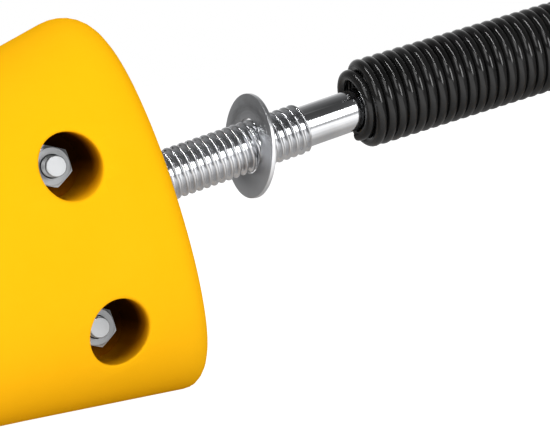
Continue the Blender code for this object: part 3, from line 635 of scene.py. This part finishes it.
def show_piece(name, mesh, place, slot, bodies, nodes, run=None):
    """Puts a mesh at its place with its finish. It rides on one body, or stays fixed in the world when
    given a run.
    """
    mesh.transform(place)
    mesh.materials.clear()
    mesh.materials.append(FINISHES[slot])
    piece = bpy.data.objects.new(name, mesh)
    bpy.context.scene.collection.objects.link(piece)
    if run is None:
        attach(piece, bodies[0])
    else:
        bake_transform(piece)
    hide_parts(*nodes)
    return piece


def eased_run(distance, run, ease):
    """A distance that grows evenly up to run, then ever more slowly until ease is used up."""
    if distance <= run:
        return distance
    past = min(distance - run, ease)
    return run + past - past * past / (2 * ease)


def rounded_rim(distance, radius):
    """How far a fillet draws a wall in at a distance from the block's end face."""
    short = max(radius - distance, 0.0)
    return radius - math.sqrt(radius * radius - short * short)


def share_past(distance, start, length):
    """How much of a length is used up past its start, from 0 to 1."""
    return min(max((distance - start) / length, 0.0), 1.0)


def toe_outline(ahead):
    """Top, bottom, floor, outer and inner half width and shift of the toe piece's section."""
    floor = ahead * math.tan(ROD_RISE) - TOE_REAR_DROP
    fall = share_past(ahead, TOE_TOP_FALL_START, TOE_LENGTH - TOE_TOP_FALL_START)
    lift = share_past(ahead, TOE_SOLE_LIFT_START, TOE_LENGTH - TOE_SOLE_LIFT_START)
    wide = share_past(ahead, TOE_LENGTH - TOE_NOSE_LENGTH, TOE_NOSE_LENGTH)
    deep = share_past(ahead, TOE_LENGTH - TOE_NOSE_DEPTH, TOE_NOSE_DEPTH)
    top = TOE_REAR_RISE - ahead * math.tan(TOE_TOP_SLOPE) - TOE_TOP_FALL * fall ** 2
    top -= rounded_rim(ahead, TOE_TOP_FILLET)
    bottom = floor - TOE_SOLE_BULGE + TOE_SOLE_LIFT * lift ** 2 + rounded_rim(ahead, TOE_SOLE_FILLET)
    middle = (top + bottom) / 2
    half = (top - bottom) / 2 * math.sqrt(1 - deep ** 2)
    run = eased_run(ahead, TOE_FLARE_RUN, TOE_FLARE_EASE)
    base = TOE_REAR_HALF_WIDTH - rounded_rim(ahead, TOE_SIDE_FILLET)
    narrow = math.sqrt(1 - wide ** 2)
    outer = (base + run * math.tan(TOE_OUTER_FLARE)) * narrow
    inner = (base + run * math.tan(TOE_INNER_FLARE)) * narrow
    return middle + half, middle - half, floor, outer, inner, TOE_NOSE_SHIFT * wide ** 2


def heel_outline(back):
    """The same values for the heel piece's section."""
    straight = HEEL_LENGTH - HEEL_BACK_ROUND
    wide = share_past(back, straight, HEEL_BACK_ROUND)
    deep = share_past(back, HEEL_LENGTH - HEEL_BACK_DEPTH, HEEL_BACK_DEPTH)
    top = HEEL_HEIGHT - (HEEL_HEIGHT - HEEL_BACK_HEIGHT) * back / HEEL_LENGTH
    top -= rounded_rim(back, HEEL_TOP_FILLET)
    bottom = rounded_rim(back, HEEL_SOLE_FILLET) - HEEL_SOLE_BULGE
    middle = (top + bottom) / 2
    half = (top - bottom) / 2 * (1 + math.sqrt(1 - deep ** 2)) / 2
    spread = eased_run(back, 0.0, straight) / (straight / 2)
    width = HEEL_HALF_WIDTH + (HEEL_BACK_HALF_WIDTH - HEEL_HALF_WIDTH) * spread
    width = (width - rounded_rim(back, HEEL_SIDE_FILLET)) * math.sqrt(1 - wide ** 2)
    return middle + half, middle - half, 0.0, width, width, 0.0


def section_ring(x, outline, side):
    """A rounded section at x, cut flat at its floor; its outer side faces -y where side is 1."""
    top, bottom, floor, outer, inner, shift = outline
    plus, minus = (inner, outer) if side > 0 else (outer, inner)
    middle = (top + bottom) / 2
    half = (top - bottom) / 2
    ring = []
    for i in range(SECTION_POINTS):
        angle = math.tau * i / SECTION_POINTS
        across = abs(math.cos(angle)) ** (2 / SECTION_POWER)
        upward = abs(math.sin(angle)) ** (2 / SECTION_POWER)
        y = across * plus if math.cos(angle) > 0 else -across * minus
        z = middle + math.copysign(upward, math.sin(angle)) * half
        ring.append(Vector((x, shift * side + y, max(z, floor))))
    return ring


def wall_distance(outline, z, outer_side):
    """How far the outer or inner wall lies from the middle plane at height z."""
    top, bottom, _, outer, inner, _ = outline
    share = min(abs(2 * z - top - bottom) / (top - bottom), 1.0)
    return (outer if outer_side else inner) * (1 - share ** SECTION_POWER) ** (1 / SECTION_POWER)


def block_stations(length, fillet, round_length):
    """Distances of the sections: close together at the rounded rim and the rounded end."""
    straight = length - round_length
    rim = [fillet * (1 - math.cos(math.pi / 2 * i / RIM_STEPS)) for i in range(RIM_STEPS)]
    body = [fillet + (straight - fillet) * i / BODY_STEPS for i in range(BODY_STEPS)]
    turns = [NOSE_REACH * i / NOSE_STEPS for i in range(NOSE_STEPS + 1)]
    return rim + body + [straight + round_length * math.sin(turn) for turn in turns]


def block_mesh(name, outline_at, direction, stations, side):
    """A whole block, skinned over its sections, before it is split and cut."""
    shape = bmesh.new()
    skin_rings(shape, [section_ring(direction * s, outline_at(s), side) for s in stations], False)
    bmesh.ops.remove_doubles(shape, verts=shape.verts, dist=MERGE_DISTANCE)
    bmesh.ops.triangulate(shape, faces=shape.faces)
    return finished_mesh(name, shape)


def mouth_rings(centre, seat, outline_at, direction, side, outer_side):
    """Rings of a counterbore from its seat to its rounded mouth, which follows the wall."""
    x, z = centre
    out = -side if outer_side else side
    rings = [[Vector((x + p.x, out * seat, z + p.y)) for p in round_ring(COUNTERBORE_RADIUS, 0.0)]]
    turns = [MOUTH_REACH * i / MOUTH_STEPS for i in range(MOUTH_STEPS + 1)]
    lips = [(MOUTH_LIP * (1 - math.cos(a)), MOUTH_LIP * (1 - math.sin(a))) for a in turns]
    lips += [(MOUTH_LIP, -MOUTH_LIP * MOUTH_OVERSHOOT),
             (MOUTH_LIP * (1 + MOUTH_OVERSHOOT), -COUNTERBORE_RADIUS)]
    for widening, depth in lips:
        ring = []
        for p in round_ring(COUNTERBORE_RADIUS + widening, 0.0):
            wall = wall_distance(outline_at(direction * (x + p.x)), z + p.y, outer_side)
            ring.append(Vector((x + p.x, out * (wall - depth), z + p.y)))
        rings.append(ring)
    return rings


def bolt_hole_mesh(name, bolt, outline_at, direction, side):
    """The cutter of one cross bolt: nut's counterbore, clearance hole and head's counterbore."""
    x, z, seat, end = bolt
    head_seat = BOLT_LENGTH - end - SEAT_GAP
    nut_rings = mouth_rings((x, z), seat - SEAT_GAP, outline_at, direction, side, True)
    head_rings = mouth_rings((x, z), head_seat, outline_at, direction, side, False)
    hole = round_ring(BOLT_RADIUS + RUNNING_GAP, 0.0)
    neck = [
        [Vector((x + p.x, side * y, z + p.y)) for p in hole]
        for y in (SEAT_GAP - seat, head_seat)
    ]
    shape = bmesh.new()
    skin_rings(shape, nut_rings[::-1] + neck + head_rings, False)
    bmesh.ops.triangulate(shape, faces=shape.faces)
    return finished_mesh(name, shape)


def box_mesh(name, middle, size):
    shape = bmesh.new()
    bmesh.ops.create_cube(shape, size=1.0)
    bmesh.ops.scale(shape, vec=size, verts=shape.verts)
    bmesh.ops.translate(shape, vec=middle, verts=shape.verts)
    return finished_mesh(name, shape)


def cut_mesh(name, solid, operations):
    """A solid after its cuts, as a plain mesh. Each operation is (kind, cutter's mesh)."""
    body = bpy.data.objects.new(name, solid)
    bpy.context.scene.collection.objects.link(body)
    tools = []
    for kind, mesh in operations:
        tool = bpy.data.objects.new(name + "_cut", mesh)
        bpy.context.scene.collection.objects.link(tool)
        cut = body.modifiers.new(kind, "BOOLEAN")
        cut.operation = kind
        cut.solver = "EXACT"
        cut.object = tool
        tools.append(tool)
    graph = bpy.context.evaluated_depsgraph_get()
    result = bpy.data.meshes.new_from_object(body.evaluated_get(graph))
    for old in [body] + tools:
        bpy.data.objects.remove(old)
    shape = bmesh.new()
    shape.from_mesh(result)
    return finished_mesh(name, shape, MOULDED_EDGE)


def mark_hollows(mesh, bolts, outline_at, direction, side):
    """Stores how deep each point of a counterbore lies below the wall, and how high in its circle, for its
    painted shade.
    """
    depths = []
    heights = []
    for vert in mesh.vertices:
        x, y, z = vert.co
        depth = 0.0
        height = 0.0
        for bolt_x, bolt_z, _, _ in bolts.values():
            if math.hypot(x - bolt_x, z - bolt_z) < COUNTERBORE_RADIUS + MOUTH_LIP:
                depth = max(wall_distance(outline_at(direction * x), z, y * side < 0) - abs(y), 0.0)
                height = (z - bolt_z) / COUNTERBORE_RADIUS
        depths.append(depth)
        heights.append(height)
    mark_points(mesh, "hollow_depth", depths)
    mark_points(mesh, "hollow_height", heights)


def show_halves(prefix, block, place, solid, cutters, bolts, outline_at, ahead, side, size, body):
    """Splits a block down its middle plane, cuts both halves and shows them."""
    for which, direction in (("outer", -side), ("inner", side)):
        name = prefix + block + "_" + which + "_half"
        middle = (0.0, direction * (size + HALF_SPLIT) / 2, 0.0)
        keep = box_mesh(name + "_side", middle, (size * 2, size, size * 2))
        operations = [("INTERSECT", keep)] + [("DIFFERENCE", cutter) for cutter in cutters]
        mesh = cut_mesh(name, solid.copy(), operations)
        mark_hollows(mesh, bolts, outline_at, ahead, side)
        moulding = show_piece(name + "_moulding", mesh, place, "yellow_plastic", [body], [name])
        moulding.visible_glossy = False


def nut_mesh(name):
    """Hexagon nut along z, chamfered at both faces, with its seat at 0."""
    bore = BOLT_RADIUS + NUT_CLEARANCE
    face = NUT_ACROSS / 2 * CHAMFER_SHARE
    shape = bmesh.new()
    skin_rings(shape, [
        round_ring(bore + SMALL_BREAK, 0.0),
        round_ring(face, 0.0),
        hexagon_ring(NUT_ACROSS, 0.0, 1),
        hexagon_ring(NUT_ACROSS, NUT_THICKNESS, -1),
        round_ring(face, NUT_THICKNESS),
        round_ring(bore + SMALL_BREAK, NUT_THICKNESS),
        round_ring(bore, NUT_THICKNESS - SMALL_BREAK),
        round_ring(bore, SMALL_BREAK),
    ], True)
    return finished_mesh(name, shape, NUT_EDGE)


def thread_skin(shape, pitch, crest, root, start, end, slope, rows):
    """Adds a cut thread along z to a shape."""
    shape.from_mesh(grown_mesh(CUT_THREAD, {
        "Pitch": pitch, "Crest radius": crest, "Root radius": root, "Start": start, "End": end,
        "End slope": slope, "Columns": HOLE_SIDES, "Rows per turn": rows,
        "Finish": FINISHES["chrome_plate"],
    }))


def drop_inner_caps(shape, height, radius):
    """Removes a cap that closes a run where the next run goes on."""
    caps = [face for face in shape.faces if len(face.verts) == HOLE_SIDES
            and all(abs(vert.co.z - height) < MERGE_DISTANCE for vert in face.verts)
            and abs(face.verts[0].co.xy.length - radius) < MERGE_DISTANCE * 5]
    bmesh.ops.delete(shape, geom=caps, context="FACES_ONLY")


def bolt_mesh(name, end):
    """Hexagon bolt along z with its point at end and a thread on its last third."""
    neck = end - BOLT_LENGTH
    root = BOLT_RADIUS - BOLT_THREAD_DEPTH
    start = end - BOLT_THREAD_LENGTH
    point = end - BOLT_POINT_LENGTH
    under = neck - BOLT_HEAD_HEIGHT
    shape = bmesh.new()
    thread_skin(shape, BOLT_PITCH, BOLT_RADIUS, root, start, point,
                BOLT_THREAD_END_SLOPE, BOLT_THREAD_ROWS)
    skin_rings(shape, [
        round_ring(BOLT_HEAD_ACROSS / 2 * CHAMFER_SHARE, under),
        hexagon_ring(BOLT_HEAD_ACROSS, under, 1),
        hexagon_ring(BOLT_HEAD_ACROSS, neck, 0),
        round_ring(BOLT_RADIUS, neck),
        round_ring(BOLT_RADIUS, start - SMALL_BREAK * 2),
        round_ring(root, start),
    ], False)
    skin_rings(shape, [
        round_ring(root, point),
        round_ring(BOLT_POINT_RADIUS, point),
        round_ring(BOLT_POINT_RADIUS, end - SMALL_BREAK),
        round_ring(BOLT_POINT_RADIUS - SMALL_BREAK, end),
    ], False)
    drop_inner_caps(shape, start, root)
    drop_inner_caps(shape, point, root)
    return finished_mesh(name, shape, BOLT_EDGE)


def outward(side):
    """Turns z to the way that a bolt points: -y where side is 1."""
    return Matrix.Rotation(side * math.pi / 2, 4, "X")


def show_fasteners(prefix, bolts, place, side, body):
    for which, (x, z, seat, end) in bolts.items():
        here = place @ Matrix.Translation((x, 0.0, z)) @ outward(side)
        name = prefix + which + "_bolt"
        mesh = bolt_mesh(name, end)
        # Painted shade dims the whole bolt
        shade_metal(mesh, BOLT_SHADE)
        show_piece(name + "_turned", mesh, here, "zinc_steel", [body], [name])
        name = prefix + which + "_nut"
        mesh = nut_mesh(name)
        # Painted shade on the nut's faces, inside its flats
        shade_metal(mesh, NUT_FACE_SHADE, NUT_ACROSS / 2 * NUT_FACE_SHARE)
        on_seat = here @ Matrix.Translation((0.0, 0.0, seat))
        show_piece(name + "_turned", mesh, on_seat, "zinc_steel", [body], [name])


def block_holes(name, bolts, outline_at, direction, side):
    return [bolt_hole_mesh(name, bolt, outline_at, direction, side) for bolt in bolts.values()]


def show_toe_piece(prefix, side, place):
    stations = block_stations(TOE_LENGTH, TOE_TOP_FILLET, TOE_NOSE_LENGTH)
    solid = block_mesh(prefix + "toe", toe_outline, -1, stations, side)
    holes = block_holes(prefix + "toe_hole", TOE_BOLTS, toe_outline, -1, side)
    bore = turned_mesh(prefix + "rod_bore", [
        (-ROD_BORE_DEPTH, ROD_BORE_RADIUS), (-MOUTH_LIP, ROD_BORE_RADIUS),
        (SEAT_GAP, ROD_BORE_RADIUS + MOUTH_LIP), (COUNTERBORE_RADIUS, ROD_BORE_RADIUS + MOUTH_LIP)], False)
    bore.transform(ALONG_ROD)
    corner = (ANCHOR_NUT_ACROSS / 2 + SEAT_GAP) / math.cos(math.pi / 6)
    ends = (-ANCHOR_NUT_AHEAD - ANCHOR_NUT_THICKNESS - SEAT_GAP, SEAT_GAP - ANCHOR_NUT_AHEAD)
    pocket = turned_mesh(prefix + "nut_pocket", [(end, corner) for end in ends], False, 6)
    pocket.transform(ALONG_ROD @ Matrix.Rotation(math.pi / 6, 4, "Z"))
    show_halves(prefix, "toe", place, solid, holes + [pocket, bore], TOE_BOLTS, toe_outline, -1, side,
                TOE_LENGTH * 2, prefix + "toe")
    show_fasteners(prefix + "toe_", TOE_BOLTS, place, side, prefix + "toe")


def stud_profile(clearance, plug_radius, plug_length, chamfer):
    """Profile of the spring's stud, or of its pocket where the clearance isn't 0."""
    tail = STUD_FLANGE_THICKNESS
    end = tail + STUD_TAIL_LENGTH
    c = clearance
    return [
        (end + c, 0.0),
        (end + c, STUD_TAIL_RADIUS + c - chamfer),
        (end + c - chamfer, STUD_TAIL_RADIUS + c),
        (tail + c, STUD_TAIL_RADIUS + c),
        (tail + c, STUD_FLANGE_RADIUS + c - chamfer),
        (tail + c - chamfer, STUD_FLANGE_RADIUS + c),
        (chamfer - c, STUD_FLANGE_RADIUS + c),
        (-c, STUD_FLANGE_RADIUS + c - chamfer),
        (-c, plug_radius),
        (chamfer - plug_length, plug_radius),
        (-plug_length, plug_radius - chamfer),
        (-plug_length, 0.0),
    ]


def show_heel_piece(prefix, side, place, spring_place):
    stations = block_stations(HEEL_LENGTH, HEEL_TOP_FILLET, HEEL_BACK_ROUND)
    solid = block_mesh(prefix + "heel", heel_outline, 1, stations, side)
    holes = block_holes(prefix + "heel_hole", HEEL_BOLTS, heel_outline, 1, side)
    pocket = turned_mesh(prefix + "stud_pocket",
                         stud_profile(SEAT_GAP, SOCKET_RADIUS, STUD_START, SMALL_BREAK), False)
    stud_place = spring_place @ Matrix.Translation((STUD_START, 0.0, 0.0))
    pocket.transform(place.inverted() @ stud_place @ ALONG_ROD)
    show_halves(prefix, "heel", place, solid, holes + [pocket], HEEL_BOLTS, heel_outline, 1, side,
                HEEL_LENGTH * 2, prefix + "heel")
    show_fasteners(prefix + "heel_", HEEL_BOLTS, place, side, prefix + "heel")


def ring_starts():
    """Where the two shank rings start along the rod, one on each side of the bush."""
    room = BUSH_LENGTH / 2 + BUSH_BORE_RADIUS * math.tan(SPRING_SAG) + RUNNING_GAP
    return SAG_CENTRE - room - RING_THICKNESS, SAG_CENTRE + room


def rod_mesh(name):
    """Threaded rod along z: a plain inner end, the thread, and a grooved shank."""
    root = THREAD_RADIUS - THREAD_DEPTH
    groove = SHANK_RADIUS - RING_GROOVE_DEPTH
    shape = bmesh.new()
    thread_skin(shape, THREAD_PITCH, THREAD_RADIUS, root, THREAD_START, THREAD_END,
                THREAD_END_SLOPE, THREAD_ROWS)
    skin_rings(shape, [
        round_ring(root - SMALL_BREAK * 2, ROD_INNER_END),
        round_ring(root, ROD_INNER_END + SMALL_BREAK * 2),
        round_ring(root, THREAD_START),
    ], False)
    shank = [(SHANK_RADIUS, THREAD_END)]
    for start in ring_starts():
        near = start - SEAT_GAP
        far = start + RING_THICKNESS + SEAT_GAP
        shank += [(SHANK_RADIUS, near), (groove, near), (groove, far), (SHANK_RADIUS, far)]
    shank += [(SHANK_RADIUS, SHANK_END - SMALL_BREAK * 2), (SHANK_RADIUS - SMALL_BREAK * 2, SHANK_END)]
    skin_rings(shape, [round_ring(radius, height) for radius, height in shank], False)
    drop_inner_caps(shape, THREAD_START, root)
    drop_inner_caps(shape, THREAD_END, root)
    return finished_mesh(name, shape, ROD_EDGE)


def show_rod(prefix, place):
    along = place @ ALONG_ROD
    body = prefix + "rod"
    name = prefix + "threaded_rod"
    show_piece(name + "_turned", rod_mesh(name), along, "chrome_plate", [body], [name])
    for which, start in zip(("front", "rear"), ring_starts()):
        name = prefix + which + "_shank_ring"
        inner = SHANK_RADIUS - RING_GROOVE_DEPTH + SEAT_GAP
        profile = ring_profile(RING_RADIUS, inner, RING_THICKNESS, SMALL_BREAK)
        here = along @ Matrix.Translation((0.0, 0.0, start + RING_THICKNESS / 2))
        show_piece(name + "_turned", turned_mesh(name, profile, True), here, "zinc_steel", [body], [name])
    name = prefix + "rod_washer"
    lean = Matrix.Rotation(WASHER_TURN, 4, "Z") @ Matrix.Rotation(math.pi / 2 + WASHER_LEAN, 4, "Y")
    profile = ring_profile(WASHER_RADIUS, WASHER_HOLE_RADIUS, WASHER_THICKNESS, SMALL_BREAK)
    here = place @ Matrix.Translation((WASHER_PLACE, 0.0, 0.0)) @ lean
    mesh = turned_mesh(name, profile, True, WASHER_SIDES)
    mark_points(mesh, "wear", [WASHER_WEAR] * len(mesh.vertices))
    # Painted shade on the washer's faces, not on its rim
    shade_metal(mesh, WASHER_SHADE, WASHER_RADIUS - SMALL_BREAK / 2)
    show_piece(name + "_stamped", mesh, here, "chrome_plate", [prefix + "washer"], [name])


def show_spring(prefix, place):
    """The coil runs between the bush and the stud, which hold its ends."""
    name = prefix + "coil_spring"
    mesh = grown_mesh(WOUND_WIRE, {
        "Pitch": COIL_PITCH, "Coil radius": COIL_RADIUS, "Drawn radius": WIRE_DRAWN_RADIUS,
        "Drawn start": COIL_DRAWN_START, "Drawn end": COIL_DRAWN_END, "Drawn drop": WIRE_DRAWN_DROP,
        "Start angle": COIL_START_ANGLE, "Cut turns": WIRE_CUT_TURNS, "Wire radius": WIRE_RADIUS,
        "Lean": WIRE_LEAN, "Drawn lean": WIRE_DRAWN_LEAN, "Lean end": COIL_TURNS - 1.0,
        "Lean fade": WIRE_LEAN_FADE, "Turns": COIL_TURNS, "Points per turn": WIRE_POINTS,
        "Wire sides": WIRE_SIDES, "Finish": FINISHES["black_enamel"],
    })
    here = place @ Matrix.Translation((COIL_START - SAG_CENTRE, 0.0, 0.0)) @ ALONG_ROD
    start = place @ Vector((BUSH_LENGTH / 2, 0.0, 0.0))
    end = place @ Vector((STUD_START - STUD_PLUG_LENGTH, 0.0, 0.0))
    show_piece(name + "_wire", mesh, here, "black_enamel", [prefix + "carrier", prefix + "heel"], [name],
               run=(start, end))
    name = prefix + "guide_bush"
    profile = ring_profile(BUSH_RADIUS, BUSH_BORE_RADIUS, BUSH_LENGTH, SMALL_BREAK * 2)
    show_piece(name + "_turned", turned_mesh(name, profile, True), place @ ALONG_ROD,
               "grey_nylon", [prefix + "carrier"], [name])
    name = prefix + "spring_stud"
    profile = stud_profile(0.0, BUSH_RADIUS, STUD_PLUG_LENGTH, SMALL_BREAK * 2)
    here = place @ Matrix.Translation((STUD_START, 0.0, 0.0)) @ ALONG_ROD
    show_piece(name + "_turned", turned_mesh(name, profile, False), here, "zinc_steel",
               [prefix + "heel"], [name])


def rod_point(distance):
    """A point on the rod's axis, at a distance behind the toe piece's rear face."""
    height = TOE_REAR_DROP * math.cos(ROD_RISE) + distance * math.sin(ROD_RISE)
    return Vector((distance * math.cos(ROD_RISE), 0.0, height))


def show_tree(prefix, side, place):
    spring_rise = ROD_RISE - SPRING_SAG
    sag_centre = rod_point(SAG_CENTRE)
    rod_place = Matrix.Translation(place + rod_point(0.0)) @ Matrix.Rotation(-ROD_RISE, 4, "Y")
    spring_place = Matrix.Translation(place + sag_centre) @ Matrix.Rotation(-spring_rise, 4, "Y")
    face = Vector((sag_centre.x + HEEL_FACE_FROM_SAG_CENTRE * math.cos(spring_rise), 0.0, 0.0))
    show_toe_piece(prefix, side, rod_place)
    show_rod(prefix, rod_place)
    show_spring(prefix, spring_place)
    show_heel_piece(prefix, side, Matrix.Translation(place + face), spring_place)


def finish_kept_nodes():
    """The hidden pins, pegs and captive nuts keep their solids and get the steel's finish."""
    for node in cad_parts.values():
        if node.hide_render:
            continue
        node.data.materials.clear()
        node.data.materials.append(FINISHES["zinc_steel"])


def add_floor():
    """A pale floor, plain white to the eye, that lights the pair from below in front."""
    shape = bmesh.new()
    bmesh.ops.create_grid(shape, x_segments=1, y_segments=1, size=FLOOR_SIZE)
    mesh = finished_mesh("floor", shape)
    floor = bpy.data.objects.new("floor", mesh)
    bpy.context.scene.collection.objects.link(floor)
    material = bpy.data.materials.new("floor_white")
    material.use_nodes = True
    tree = material.node_tree
    shader = tree.nodes["Principled BSDF"]
    shader.inputs["Base Color"].default_value = FLOOR_TONE
    shader.inputs["Roughness"].default_value = FLOOR_ROUGHNESS
    seen = add_node(tree, "ShaderNodeLightPath").outputs["Is Camera Ray"]
    where = add_node(tree, "ShaderNodeTexCoord").outputs["Object"]
    way = add_node(tree, "ShaderNodeSeparateXYZ", {0: where})
    in_front = between(tree, way.outputs["Y"], *FLOOR_GLOW_Y)
    glow = reckon(tree, "MULTIPLY", in_front, between(tree, way.outputs["X"], *FLOOR_GLOW_X))
    shader.inputs["Emission Color"].default_value = WHITE
    feed(tree, shader.inputs["Emission Strength"], reckon(tree, "MAXIMUM", seen, glow))
    mesh.materials.append(material)


def add_tent():
    """Soft light from all round: grey in front, dark overhead, bright behind and dimmer on the left."""
    world = bpy.data.worlds.new("light_tent")
    bpy.context.scene.world = world
    world.use_nodes = True
    tree = world.node_tree
    back = tree.nodes["Background"]
    where = add_node(tree, "ShaderNodeTexCoord").outputs["Generated"]
    way = add_node(tree, "ShaderNodeSeparateXYZ", {0: where})
    front = reckon(tree, "MULTIPLY", way.outputs["Y"], -1.0)
    turn = reckon(tree, "ARCTAN2", way.outputs["Z"], front)
    share = between(tree, turn, -math.pi, math.pi, 0.0, 1.0)
    tent = ramp(tree, share, TENT_TONES)
    left = between(tree, way.outputs["X"], *TENT_LEFT)
    dimmed = add_node(tree, "ShaderNodeVectorMath", {0: tent, 1: left}, operation="MULTIPLY").outputs[0]
    seen = add_node(tree, "ShaderNodeLightPath").outputs["Is Camera Ray"]
    both = add_node(tree, "ShaderNodeMix", {0: seen, 6: dimmed, 7: WHITE}, data_type="RGBA")
    feed(tree, back.inputs["Color"], both.outputs[2])
    back.inputs["Strength"].default_value = 1.0


def add_light(name, place, aim, width, height, power):
    light = bpy.data.lights.new(name, "AREA")
    light.shape = "RECTANGLE"
    light.size = width
    light.size_y = height
    light.energy = power
    lamp = bpy.data.objects.new(name, light)
    bpy.context.scene.collection.objects.link(lamp)
    lamp.location = place
    lamp.rotation_euler = (Vector(aim) - Vector(place)).to_track_quat("-Z", "Y").to_euler()


def add_camera():
    camera = bpy.data.cameras.new("camera")
    camera.sensor_width = CAMERA_SENSOR
    camera.lens = CAMERA_LENS
    camera.clip_start = CAMERA_NEAR
    viewer = bpy.data.objects.new("camera", camera)
    bpy.context.scene.collection.objects.link(viewer)
    viewer.location = CAMERA_PLACE
    viewer.rotation_euler = [math.radians(angle) for angle in CAMERA_TURN]
    bpy.context.scene.camera = viewer


left_place = Vector((SOLE_MARK_AHEAD, SOLE_MARK_OFFSET, 0.0))
show_tree("left_", 1, left_place)
show_tree("right_", -1, left_place + Vector((-PAIR_STRIDE, PAIR_SPACING, 0.0)))
finish_kept_nodes()
add_floor()
add_tent()
for light_name, light_values in LIGHTS.items():
    add_light(light_name, *light_values)
add_camera()
bpy.context.scene.view_settings.view_transform = "Standard"
